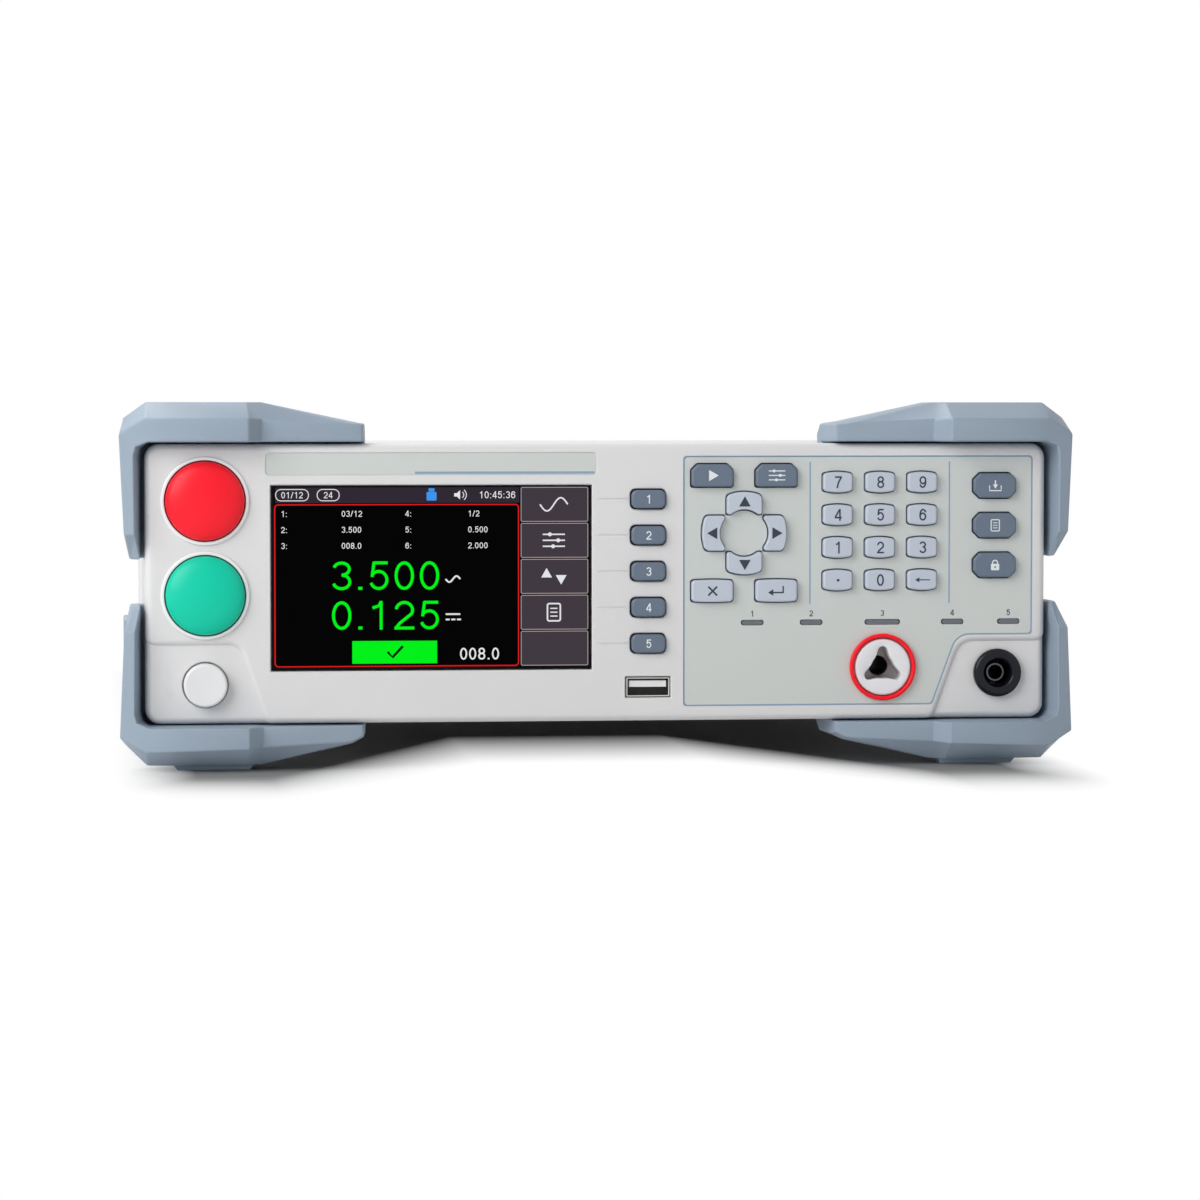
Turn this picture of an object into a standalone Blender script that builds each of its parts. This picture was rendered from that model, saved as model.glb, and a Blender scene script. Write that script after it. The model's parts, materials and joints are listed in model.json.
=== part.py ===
"""Bench hipot tester: a sheet metal case, a moulded front panel with a keypad and a colour
display, rubber corner guards, a high voltage outlet with its return jack, and the parts that
the case holds. Metres, +X to the right, +Y to the back, +Z up. The origin lies on the surface
that the tester stands on, below the middle of its bounding box."""

import math

import bmesh
import bpy
from mathutils import Vector

# Clearances
FIT = 0.0003
KEY_CLEARANCE = 0.0004
BUTTON_CLEARANCE = 0.0004

# Case
CASE_DEPTH = 0.300
SHEET = 0.0012
COVER_STEP = 0.0011
COVER_CORNER = 0.0035
TRAY_FLANGE = 0.014
TRAY_SLOT_WIDTH = 0.0030
TRAY_SLOT_LENGTH = 0.030
TRAY_SLOT_PITCH = 0.0070
TRAY_SLOT_FROM_FRONT = 0.060
TRAY_SLOT_COUNT = 12
SIDE_SLOT_WIDTH = 0.0030
SIDE_SLOT_PITCH = 0.0080
SIDE_SLOT_FROM_FRONT = 0.075
SIDE_SLOT_FROM_EDGE = 0.024
SIDE_SLOT_COUNT = 11
CUT_THROUGH = 0.0010
REAR_RECESS = 0.0030

# Front panel
PANEL_WALL = 0.0030
PANEL_SIDE_WALL = 0.0020
PANEL_RIM = 0.0160
PANEL_EDGE_RADIUS = 0.0016
PANEL_CORNER = 0.0045
FACE_INSET = 0.00005
ZONE_STEP = 0.0012
POWER_ZONE_WIDTH = 0.0275
POWER_ZONE_HEIGHT = 0.0233
POWER_ZONE_SLANT = 0.0080
RETURN_ZONE_WIDTH = 0.0258
RETURN_ZONE_HEIGHT = 0.0232
RETURN_ZONE_SLANT = 0.0085

# Display
WINDOW_WIDTH = 0.0961
WINDOW_HEIGHT = 0.0552
WINDOW_THICKNESS = 0.0015
WINDOW_FROM_LEFT = 0.0377
WINDOW_TO_SOFT_KEYS = 0.01735
WINDOW_FROM_TOP = 0.0127
WINDOW_RECESS = 0.0006
WINDOW_LEDGE = 0.0018
MODULE_BESIDE_WINDOW = 0.0047
MODULE_ABOVE_WINDOW = 0.0060
HEADER_BESIDE_WINDOW = 0.0017
HEADER_HEIGHT = 0.0068
HEADER_RECESS = 0.0004
HEADER_ABOVE_WINDOW = 0.0032

# Large round buttons and the power button
ROUND_BUTTON_DIAMETER = 0.0236
ROUND_BUTTON_FROM_LEFT = 0.0179
ROUND_BUTTON_PITCH = 0.0282
ROUND_BUTTON_FROM_TOP = 0.0171
ROUND_BUTTON_EDGE = 0.0014
ROUND_BUTTON_DOME = 0.0034
COLLAR_WIDTH = 0.0010
COLLAR_HEIGHT = 0.0008
POWER_DIAMETER = 0.0130
POWER_ABOVE_BOTTOM = 0.0118
POWER_PROUD = 0.0036
ROUND_TRAVEL = 0.0020
SWITCH_SIZE = 0.0130
SWITCH_LENGTH = 0.0240
SWITCH_BRACKET_START = 0.0040
SWITCH_BRACKET_LENGTH = 0.0160
POWER_TRAVEL = 0.0030

# Keypad overlay
OVERLAY_FROM_RIGHT = 0.0041
OVERLAY_FROM_TOP = 0.0038
OVERLAY_FROM_BOTTOM = 0.0044
OVERLAY_THICKNESS = 0.0005
OVERLAY_CORNER = 0.0010
OVERLAY_NOTCH_RADIUS = 0.0055
NOTCH_LIP = 0.0024

# Keys
KEY_PROUD = 0.0018
KEY_TRAVEL = 0.0012
KEY_BEVEL = 0.0004
KEY_FLANGE = 0.0004
KEY_FLANGE_THICKNESS = 0.0009
KEY_STEM_SHARE = 0.5
SOFT_KEY_WIDTH = 0.0110
SOFT_KEY_HEIGHT = 0.0063
SOFT_KEY_CORNER = 0.0016
SOFT_KEY_PITCH = 0.0109
SOFT_KEY_TO_OVERLAY = 0.01075
SOFT_KEY_FROM_TOP = 0.0168
SOFT_KEY_COUNT = 5
WIDE_KEY_WIDTH = 0.0134
WIDE_KEY_HEIGHT = 0.0076
WIDE_KEY_PITCH = 0.0196
WIDE_KEY_FROM_LEFT = 0.0087
WIDE_KEY_FROM_TOP = 0.0059
WIDE_KEY_DROP = 0.0349
ARROW_RING_HEIGHT = 0.0182
ARROW_RING_WIDTH = 0.0189
ARROW_LENGTH = 0.0114
ARROW_DEPTH = 0.0076
ARROW_CROWN = 0.0012
ARROW_HOLLOW = 0.0015
ARROW_HOLLOW_WIDTH = 0.0080
NUMBER_KEY_WIDTH = 0.0097
NUMBER_KEY_HEIGHT = 0.0071
NUMBER_KEY_BOW = 0.0007
NUMBER_PITCH_X = 0.0130
NUMBER_PITCH_Z = 0.0099
WIDE_KEY_TO_NUMBERS = 0.0188
NUMBER_FROM_TOP = 0.0080
SIDE_KEY_WIDTH = 0.0138
SIDE_KEY_HEIGHT = 0.0083
SIDE_KEY_PITCH = 0.0121
NUMBERS_TO_SIDE_KEYS = 0.0224
SIDE_KEY_FROM_RIGHT = 0.0119
SIDE_KEY_FROM_TOP = 0.0091

# Indicator lights
LIGHT_HEIGHT = 0.0017
LIGHT_WIDTH = 0.0070
WIDE_LIGHT_WIDTH = 0.0110
LIGHT_FROM_TOP = 0.0505
FIRST_LIGHT_FROM_LEFT = 0.0211
SECOND_LIGHT_FROM_LEFT = 0.0392
FOURTH_LIGHT_FROM_RIGHT = 0.0247
LAST_LIGHT_FROM_RIGHT = 0.0073
LIGHT_TO_HV = 0.0137
LIGHT_BAR_HEIGHT = 0.0034
LIGHT_BAR_END = 0.0020

# Outlets and ports
HV_DIAMETER = 0.0172
HV_RING_DIAMETER = 0.0203
HV_RING_HEIGHT = 0.0014
HV_PROUD = 0.0010
HV_FROM_LEFT = 0.0611
HV_FROM_BOTTOM = 0.0159
HV_LENGTH = 0.036
HV_WELL_DEPTH = 0.0195
HV_LOBE_REACH = 0.0063
HV_LOBE_RADIUS = 0.0015
HV_WAIST_RADIUS = 0.0035
HV_BORE_DIAMETER = 0.0098
HV_BORE_DEPTH = 0.008
RETURN_DIAMETER = 0.0147
RETURN_HOLE = 0.0120
RETURN_RECESS = 0.0084
RETURN_FROM_RIGHT = 0.0148
RETURN_FROM_BOTTOM = 0.0139
RETURN_PROUD = 0.0026
RETURN_LENGTH = 0.026
CONTACT_SETBACK = 0.0048
CONTACT_DIAMETER = 0.0058
CONTACT_BORE = 0.0042
USB_WIDTH = 0.0132
USB_HEIGHT = 0.0058
USB_WALL = 0.0004
USB_TONGUE = 0.0019
USB_FROM_BOTTOM = 0.0103

# Front board
BOARD = 0.0016
BOARD_GAP = 0.0050
BOARD_MARGIN = 0.0010
POST_DIAMETER = 0.0045
POST_INSET = 0.0065

# Rear panel and what it carries
FAN_SIZE = 0.060
FAN_DEPTH = 0.025
FAN_BORE = 0.0570
FAN_HUB = 0.0260
FAN_SHAFT = 0.0040
FAN_STRUT = 0.0035
FAN_BLADE_COUNT = 7
FAN_BLADE_GAP = 0.0008
FAN_FROM_RIGHT = 0.046
FAN_SCREW_PITCH = 0.050
FAN_SCREW_HOLE = 0.0043
GRILLE_SLOTS = 9
INLET_FLANGE_WIDTH = 0.0500
INLET_FLANGE_HEIGHT = 0.0330
INLET_FLANGE_THICKNESS = 0.0030
INLET_FLANGE_MARGIN = 0.0020
INLET_BODY_WIDTH = 0.0275
INLET_BODY_DEPTH = 0.0260
INLET_WALL = 0.0015
INLET_CAVITY_WIDTH = 0.0245
INLET_CAVITY_HEIGHT = 0.0165
INLET_CAVITY_DEPTH = 0.0165
INLET_CORNER_CUT = 0.0035
INLET_SCREW_PITCH = 0.040
INLET_SCREW_HOLE = 0.0034
INLET_FROM_LEFT = 0.040
INLET_FROM_BOTTOM = 0.034
PIN_LENGTH = 0.0140
PIN_WIDTH = 0.0020
PIN_HEIGHT = 0.0040
PIN_PITCH = 0.0140
PIN_OFFSET = 0.0020
FUSE_WIDTH = 0.0235
FUSE_HEIGHT = 0.0062
FUSE_DEPTH = 0.022
FUSE_GRIP_PROUD = 0.0012
SERIAL_FROM_LEFT = 0.105
SERIAL_FROM_BOTTOM = 0.026
SERIAL_FLANGE_WIDTH = 0.0308
SERIAL_FLANGE_HEIGHT = 0.0125
SERIAL_FLANGE_THICKNESS = 0.0010
SERIAL_SHELL_WIDTH = 0.0169
SERIAL_SHELL_HEIGHT = 0.0084
SERIAL_SHELL_SLOPE = 0.0008
SERIAL_SHELL_CORNER = 0.0018
SERIAL_SHELL_PROUD = 0.0058
SERIAL_DEPTH = 0.0100
SERIAL_CUTOUT_WIDTH = 0.0200
SERIAL_CUTOUT_HEIGHT = 0.0110
SERIAL_JACK_PITCH = 0.0250
SERIAL_JACK_DIAMETER = 0.0050
SERIAL_JACK_PROUD = 0.0050

# What the case holds
TRANSFORMER_FROM_REAR = 0.115
CORE_WIDTH = 0.066
CORE_DEPTH = 0.036
CORE_HEIGHT = 0.056
COIL_WIDTH = 0.044
COIL_HEIGHT = 0.034
COIL_CORNER = 0.008
COIL_LENGTH = 0.060
TRANSFORMER_FOOT_WIDTH = 0.084
TRANSFORMER_FOOT_DEPTH = 0.024
TRANSFORMER_FOOT = 0.0020
BOARD_TO_TRANSFORMER = 0.015
MAIN_BOARD_FROM_SIDE = 0.016
MAIN_BOARD_FROM_OVERLAY = 0.012
MAIN_BOARD_FROM_END = 0.060
STANDOFF_HEIGHT = 0.008
STANDOFF_WIDTH = 0.006
STANDOFF_INSET = 0.006
PART_SINK = 0.0005
HEAT_SINK_FROM_SIDE = 0.020
HEAT_SINK_FROM_REAR = 0.030
HEAT_SINK_THICKNESS = 0.008
HEAT_SINK_HEIGHT = 0.036
CAPACITOR_DIAMETER = 0.022
CAPACITOR_HEIGHT = 0.030
CAPACITOR_PITCH = 0.026
CAPACITOR_FROM_SIDE = 0.050
CAPACITOR_FROM_FRONT = 0.040

# Corner guards
GUARD_LENGTH = 0.0220
GUARD_TAIL = 0.0035
GUARD_REACH = 0.0671
GUARD_SIDE = 0.0076
GUARD_SIDE_GAP = 0.0012
GUARD_DEEP = 0.0124
GUARD_LIP = 0.0074
GUARD_CHAMFER = 0.0108
GUARD_FRONT = 0.0085
GUARD_TILT = 0.35
GUARD_TILT_START = 0.0075
GUARD_STEP = 0.0060
GUARD_STEP_START = 0.0307
GUARD_STEP_RUN = 0.0042
GUARD_MEETING = 0.00045
GUARD_HALF_GAP = 0.0069
GUARD_END_RUN = 0.0075
GUARD_END_LEAN = 0.0028
UPPER_ARM_END_BACK = (0.0109, 0.0154)
LOWER_ARM_END_BACK = (0.0074, 0.0094)
REAR_GUARD_LENGTH = 0.0280
REAR_GUARD_PROUD = 0.0117
REAR_GUARD_HOOK = 0.0030
REAR_GUARD_SIDE = 0.0043
REAR_GUARD_HEIGHT = 0.0048
REAR_UPPER_REACH = 0.0150
REAR_LOWER_REACH = 0.0450
REAR_ARM = 0.0185
REAR_GUARD_ROUND = 0.0035
REAR_GUARD_EDGE = 0.0030
FOOT_HEIGHT = 0.0017
FOOT_SLOPE = 0.0011
FOOT_LENGTH = 0.0135
FOOT_WIDTH = 0.0239
FOOT_FROM_SIDE = 0.0084
FOOT_FROM_END = 0.0040

# Places worked out from the sizes above
MODULE_WIDTH = WINDOW_WIDTH + 2 * MODULE_BESIDE_WINDOW
MODULE_HEIGHT = WINDOW_HEIGHT + 2 * MODULE_ABOVE_WINDOW
HEADER_WIDTH = WINDOW_WIDTH + 2 * HEADER_BESIDE_WINDOW
OVERLAY_WIDTH = (WIDE_KEY_FROM_LEFT + WIDE_KEY_PITCH + WIDE_KEY_TO_NUMBERS + 2 * NUMBER_PITCH_X
                 + NUMBERS_TO_SIDE_KEYS + SIDE_KEY_FROM_RIGHT)
PANEL_WIDTH = (WINDOW_FROM_LEFT + WINDOW_WIDTH + WINDOW_TO_SOFT_KEYS + SOFT_KEY_TO_OVERLAY
               + OVERLAY_WIDTH + OVERLAY_FROM_RIGHT)
PANEL_HEIGHT = OVERLAY_FROM_TOP + LIGHT_FROM_TOP + LIGHT_TO_HV + HV_FROM_BOTTOM
STOP_PROUD = ROUND_BUTTON_EDGE + ROUND_BUTTON_DOME
FRONT_Y = -(GUARD_FRONT + CASE_DEPTH + REAR_GUARD_PROUD) / 2 + GUARD_FRONT
REAR_Y = FRONT_Y + CASE_DEPTH
LEFT = -PANEL_WIDTH / 2
RIGHT = PANEL_WIDTH / 2
BOTTOM = FOOT_HEIGHT + GUARD_DEEP
TOP = BOTTOM + PANEL_HEIGHT
MIDDLE_Z = (BOTTOM + TOP) / 2
PANEL_BACK = FRONT_Y + PANEL_WALL
OVERLAY_FRONT = FRONT_Y + FIT
OVERLAY_FLOOR = OVERLAY_FRONT + OVERLAY_THICKNESS + FIT
BOARD_FRONT = PANEL_BACK + BOARD_GAP
BOARD_BACK = BOARD_FRONT + BOARD
CASE_FRONT = FRONT_Y + PANEL_RIM + FIT
COVER_TOP = TOP - COVER_STEP
COVER_BOTTOM = BOTTOM + COVER_STEP
COVER_HALF = PANEL_WIDTH / 2 - COVER_STEP
REAR_FACE = REAR_Y - REAR_RECESS
TRAY_TOP = COVER_BOTTOM + SHEET
OVERLAY_RIGHT = RIGHT - OVERLAY_FROM_RIGHT
OVERLAY_LEFT = OVERLAY_RIGHT - OVERLAY_WIDTH
OVERLAY_TOP = TOP - OVERLAY_FROM_TOP
OVERLAY_BOTTOM = BOTTOM + OVERLAY_FROM_BOTTOM
WINDOW_X = LEFT + WINDOW_FROM_LEFT + WINDOW_WIDTH / 2
WINDOW_Z = TOP - WINDOW_FROM_TOP - WINDOW_HEIGHT / 2
ROUND_X = LEFT + ROUND_BUTTON_FROM_LEFT
STOP_Z = TOP - ROUND_BUTTON_FROM_TOP
START_Z = STOP_Z - ROUND_BUTTON_PITCH
POWER_Z = BOTTOM + POWER_ABOVE_BOTTOM
SOFT_KEY_X = OVERLAY_LEFT - SOFT_KEY_TO_OVERLAY
ARROW_X = OVERLAY_LEFT + WIDE_KEY_FROM_LEFT + WIDE_KEY_PITCH / 2
ARROW_Z = OVERLAY_TOP - WIDE_KEY_FROM_TOP - WIDE_KEY_DROP / 2
HV_X = OVERLAY_LEFT + HV_FROM_LEFT
HV_Z = BOTTOM + HV_FROM_BOTTOM
RETURN_X = RIGHT - RETURN_FROM_RIGHT
RETURN_Z = BOTTOM + RETURN_FROM_BOTTOM
USB_X = SOFT_KEY_X
USB_Z = BOTTOM + USB_FROM_BOTTOM
LIGHT_Z = OVERLAY_TOP - LIGHT_FROM_TOP
FAN_X = RIGHT - FAN_FROM_RIGHT
FAN_Z = (COVER_TOP + COVER_BOTTOM) / 2
FAN_BACK = REAR_FACE - SHEET - FIT
INLET_X = LEFT + INLET_FROM_LEFT
INLET_Z = BOTTOM + INLET_FROM_BOTTOM
SERIAL_X = LEFT + SERIAL_FROM_LEFT
SERIAL_Z = BOTTOM + SERIAL_FROM_BOTTOM


def clear_scene():
    for old in list(bpy.data.objects):
        bpy.data.objects.remove(old, do_unlink=True)


def material(name, colour, roughness, metallic=0.0):
    made = bpy.data.materials.new(name)
    made.use_nodes = True
    shader = made.node_tree.nodes["Principled BSDF"]
    shader.inputs["Base Color"].default_value = (*colour, 1.0)
    shader.inputs["Roughness"].default_value = roughness
    shader.inputs["Metallic"].default_value = metallic
    return made


def new_object(name, bm, finish, place=(0.0, 0.0, 0.0)):
    bmesh.ops.recalc_face_normals(bm, faces=bm.faces)
    mesh = bpy.data.meshes.new(name)
    bm.to_mesh(mesh)
    bm.free()
    made = bpy.data.objects.new(name, mesh)
    made.location = place
    if finish is not None:
        mesh.materials.append(finish)
    bpy.context.collection.objects.link(made)
    return made


def tool(name, bm):
    """A shape that only cuts or joins: it isn't a node of its own."""
    made = new_object(name, bm, None)
    made.hide_render = True
    made.display_type = "WIRE"
    return made


def combine(target, shape, operation):
    step = target.modifiers.new(shape.name, "BOOLEAN")
    step.operation = operation
    step.solver = "EXACT"
    step.object = shape


def smooth(target, angle=35.0):
    target.data.shade_smooth()
    target.data.set_sharp_from_angle(angle=math.radians(angle))


# Outlines are lists of (x, z) points that run anticlockwise seen from the front

def rounded(corners, radii, steps=3):
    """A polygon whose corners become arcs of the given radii."""
    points = []
    count = len(corners)
    for index, corner in enumerate(corners):
        here = Vector(corner)
        before = (Vector(corners[index - 1]) - here).normalized()
        after = (Vector(corners[(index + 1) % count]) - here).normalized()
        radius = radii[index] if isinstance(radii, (list, tuple)) else radii
        half = before.angle(after) / 2
        if radius <= 0 or half > math.radians(89):
            points.append(tuple(here))
            continue
        reach = radius / math.tan(half)
        centre = here + (before + after).normalized() * radius / math.sin(half)
        start = here + before * reach - centre
        sweep = math.pi - 2 * half
        cross = before.x * after.y - before.y * after.x
        turn = sweep if cross < 0 else -sweep
        for step in range(steps + 1):
            angle = turn * step / steps
            c, s = math.cos(angle), math.sin(angle)
            points.append((centre.x + start.x * c - start.y * s, centre.y + start.x * s + start.y * c))
    return points


def rectangle(x, z, width, height, radius=0.0, steps=3):
    w, h = width / 2, height / 2
    corners = [(x - w, z - h), (x + w, z - h), (x + w, z + h), (x - w, z + h)]
    return rounded(corners, radius, steps)


def circle(x, z, diameter, sides=24):
    turn = 2 * math.pi / sides
    radius = diameter / 2
    return [(x + radius * math.cos(i * turn), z + radius * math.sin(i * turn)) for i in range(sides)]


def inset(outline, amount):
    """The outline moved inwards by an amount, or outwards when it is negative."""
    moved = []
    count = len(outline)
    for index in range(count):
        here = Vector(outline[index])
        before = (here - Vector(outline[index - 1])).normalized()
        after = (Vector(outline[(index + 1) % count]) - here).normalized()
        normal = Vector((-before.y - after.y, before.x + after.x)).normalized()
        spread = max(normal.dot(Vector((-before.y, before.x))), 0.5)
        moved.append(tuple(here + normal * amount / spread))
    return moved


def loft(bm, rings):
    """A closed body through rings of equally many points, each a list of (x, y, z)."""
    rows = [[bm.verts.new(point) for point in ring] for ring in rings]
    count = len(rows[0])
    for near, far in zip(rows, rows[1:]):
        for index in range(count):
            after = (index + 1) % count
            bm.faces.new((near[index], near[after], far[after], far[index]))
    bm.faces.new(rows[0])
    bm.faces.new(list(reversed(rows[-1])))


def at_depth(outline, y):
    return [(x, y, z) for x, z in outline]


def prism(bm, outline, front, back):
    loft(bm, [at_depth(outline, front), at_depth(outline, back)])


def turned(bm, x, z, profile, sides=24):
    """A body turned about the Y axis through (x, z), from (radius, y) stations."""
    loft(bm, [at_depth(circle(x, z, 2 * radius, sides), y) for radius, y in profile])


def turned_ring(bm, x, z, profile, sides=24):
    """A ring turned about the Y axis through (x, z), from a closed loop of (radius, y)."""
    rows = [[bm.verts.new(p) for p in at_depth(circle(x, z, 2 * r, sides), y)] for r, y in profile]
    for near, far in zip(rows, rows[1:] + rows[:1]):
        for index in range(sides):
            after = (index + 1) % sides
            bm.faces.new((near[index], near[after], far[after], far[index]))


def box(bm, x0, x1, y0, y1, z0, z1):
    prism(bm, [(x0, z0), (x1, z0), (x1, z1), (x0, z1)], y0, y1)


def edge_profile(radius, steps=2):
    """Stations of a quarter round edge: how far in, and how far back from the front face."""
    angles = [math.pi / 2 * step / steps for step in range(steps + 1)]
    return [(radius * (1 - math.sin(a)), radius * (1 - math.cos(a))) for a in angles]


# Outlines of the openings for the keys, each about its own centre

def soft_key_outline():
    return rectangle(0.0, 0.0, SOFT_KEY_WIDTH, SOFT_KEY_HEIGHT, SOFT_KEY_CORNER, steps=1)


def cut_corner_outline(width, height, upper_cut, lower_cut):
    w, h = width / 2, height / 2
    return [(-w + lower_cut, -h), (w - lower_cut, -h), (w, -h + lower_cut), (w, h - upper_cut),
            (w - upper_cut, h), (-w + upper_cut, h), (-w, h - upper_cut), (-w, -h + lower_cut)]


def bowed_outline(width, height, bow, corner):
    """Straight sides, with the top and bottom edges bowed out."""
    w, h = width / 2, height / 2
    side = h - bow
    corners = [(-w, -side), (0.0, -h), (w, -side), (w, side), (0.0, h), (-w, side)]
    return rounded(corners, [corner, 0.0, corner, corner, 0.0, corner], steps=1)


def arc_points(half_width, base, rise, shares):
    """Points of an arc that rises from the base line to its crown in the middle."""
    radius = (half_width ** 2 + rise ** 2) / (2 * rise)
    drop = radius - rise
    return [(half_width * s, base + math.sqrt(radius ** 2 - (half_width * s) ** 2) - drop) for s in shares]


def arrow_outline(turn, side=0.0, outward=0.0, foot_radius=0.0005):
    """A key of the ring of four: crowned outside, hollow towards the middle of the ring."""
    w, h = ARROW_LENGTH / 2 + side, ARROW_DEPTH / 2
    shoulder = h + outward - ARROW_CROWN
    hollow = arc_points(ARROW_HOLLOW_WIDTH / 2, -h, ARROW_HOLLOW, (-1.0, -0.5, 0.0, 0.5, 1.0))
    crown = arc_points(w, shoulder, ARROW_CROWN, (0.5, 0.0, -0.5))
    corners = [(-w, -h)] + hollow + [(w, -h), (w, shoulder)] + crown + [(-w, shoulder)]
    radii = [foot_radius] + [0.0] * 5 + [foot_radius, 0.0017] + [0.0] * 3 + [0.0017]
    c, s = math.cos(turn), math.sin(turn)
    return [(x * c - z * s, x * s + z * c) for x, z in rounded(corners, radii, steps=1)]


def arrow_flange(turn):
    """The collar of an arrow key keeps clear of the inner corners, where its neighbours are."""
    return arrow_outline(turn, KEY_FLANGE, KEY_FLANGE, foot_radius=0.0021)


def key_plan():
    """Every push key: its name, middle, opening, collar outline and finish."""
    plan = []

    def add(name, place, outline, finish, flange=None):
        plan.append((name, place, outline, flange or inset(outline, -KEY_FLANGE), finish))

    first = TOP - SOFT_KEY_FROM_TOP
    for index in range(SOFT_KEY_COUNT):
        add(f"key_f{index + 1}", (SOFT_KEY_X, first - index * SOFT_KEY_PITCH), soft_key_outline(), "key_dark")
    left = OVERLAY_LEFT + WIDE_KEY_FROM_LEFT
    right = left + WIDE_KEY_PITCH
    first_number = right + WIDE_KEY_TO_NUMBERS
    high = OVERLAY_TOP - WIDE_KEY_FROM_TOP
    low = high - WIDE_KEY_DROP
    mode_key = cut_corner_outline(WIDE_KEY_WIDTH, WIDE_KEY_HEIGHT, 0.0020, 0.0005)
    add("key_test", (left, high), mode_key, "key_dark")
    add("key_setup", (right, high), mode_key, "key_dark")
    answer_key = bowed_outline(WIDE_KEY_WIDTH, WIDE_KEY_HEIGHT, 0.0003, 0.0011)
    add("key_esc", (left, low), answer_key, "key_light")
    add("key_enter", (right, low), answer_key, "key_light")
    for name, quarter in (("key_up", 0), ("key_left", 1), ("key_down", 2), ("key_right", 3)):
        turn = quarter * math.pi / 2
        place = (ARROW_X - ARROW_RING_WIDTH / 2 * math.sin(turn),
                 ARROW_Z + ARROW_RING_HEIGHT / 2 * math.cos(turn))
        add(name, place, arrow_outline(turn), "key_light", arrow_flange(turn))
    number_key = bowed_outline(NUMBER_KEY_WIDTH, NUMBER_KEY_HEIGHT, NUMBER_KEY_BOW, 0.0010)
    rows = (("7", "8", "9"), ("4", "5", "6"), ("1", "2", "3"), ("dot", "0", "backspace"))
    for row, names in enumerate(rows):
        for column, name in enumerate(names):
            place = (first_number + column * NUMBER_PITCH_X,
                     OVERLAY_TOP - NUMBER_FROM_TOP - row * NUMBER_PITCH_Z)
            add(f"key_{name}", place, number_key, "key_light")
    side_key = cut_corner_outline(SIDE_KEY_WIDTH, SIDE_KEY_HEIGHT, 0.0022, 0.0022)
    for index, name in enumerate(("save", "print", "lock")):
        place = (OVERLAY_RIGHT - SIDE_KEY_FROM_RIGHT,
                 OVERLAY_TOP - SIDE_KEY_FROM_TOP - index * SIDE_KEY_PITCH)
        add(f"key_{name}", place, side_key, "key_dark")
    return plan


def shifted(outline, place):
    return [(x + place[0], z + place[1]) for x, z in outline]


def overlay_outline():
    notch_z = BOTTOM + RETURN_ZONE_HEIGHT + NOTCH_LIP
    notch_x = RIGHT - RETURN_ZONE_WIDTH - NOTCH_LIP * 0.6
    rise = notch_z - OVERLAY_BOTTOM
    slant = RETURN_ZONE_SLANT * rise / RETURN_ZONE_HEIGHT
    corners = [(OVERLAY_LEFT, OVERLAY_BOTTOM), (notch_x - slant, OVERLAY_BOTTOM), (notch_x, notch_z),
               (OVERLAY_RIGHT, notch_z), (OVERLAY_RIGHT, OVERLAY_TOP), (OVERLAY_LEFT, OVERLAY_TOP)]
    c = OVERLAY_CORNER
    return rounded(corners, [c, c, OVERLAY_NOTCH_RADIUS, c, c, c], steps=3)


def light_bars():
    """The middle and the width of each light; the wide one stands above the outlet."""
    return [(OVERLAY_LEFT + FIRST_LIGHT_FROM_LEFT, LIGHT_WIDTH),
            (OVERLAY_LEFT + SECOND_LIGHT_FROM_LEFT, LIGHT_WIDTH),
            (HV_X, WIDE_LIGHT_WIDTH),
            (OVERLAY_RIGHT - FOURTH_LIGHT_FROM_RIGHT, LIGHT_WIDTH),
            (OVERLAY_RIGHT - LAST_LIGHT_FROM_RIGHT, LIGHT_WIDTH)]


def post_places():
    """Where the posts behind the panel carry the front board."""
    above = TOP - POST_INSET
    below = BOTTOM + POST_INSET
    beside_window = WINDOW_X + MODULE_WIDTH / 2 + POST_DIAMETER
    return [(LEFT + POST_INSET, (STOP_Z + START_Z) / 2),
            (beside_window - 0.0012, above),
            (beside_window - POST_DIAMETER, below - 0.0015),
            (WINDOW_X - MODULE_WIDTH / 2 + POST_DIAMETER, below - 0.0015),
            (RIGHT - POST_INSET, above),
            (RIGHT - POST_INSET, LIGHT_Z + LIGHT_BAR_HEIGHT / 2 + POST_DIAMETER),
            (HV_X - HV_DIAMETER * 1.5, below)]


def panel_outline():
    return rectangle(0.0, MIDDLE_Z, PANEL_WIDTH, PANEL_HEIGHT, PANEL_CORNER, steps=3)


def plateau_outline():
    """The raised face: the whole panel without the power zone and the return zone."""
    power_z = BOTTOM + POWER_ZONE_HEIGHT
    return_z = BOTTOM + RETURN_ZONE_HEIGHT
    corners = [(LEFT, power_z), (LEFT + POWER_ZONE_WIDTH, power_z),
               (LEFT + POWER_ZONE_WIDTH + POWER_ZONE_SLANT, BOTTOM),
               (RIGHT - RETURN_ZONE_WIDTH - RETURN_ZONE_SLANT, BOTTOM),
               (RIGHT - RETURN_ZONE_WIDTH, return_z), (RIGHT, return_z), (RIGHT, TOP), (LEFT, TOP)]
    radii = [0.0030, 0.0040, 0.0030, 0.0030, 0.0050, 0.0030, PANEL_CORNER, PANEL_CORNER]
    return rounded(corners, radii, steps=3)


def rounded_front_block(bm, outline, front, back, radius):
    rings = [at_depth(inset(outline, inwards), front + behind) for inwards, behind in edge_profile(radius)]
    rings.append(at_depth(outline, back))
    loft(bm, rings)


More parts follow.
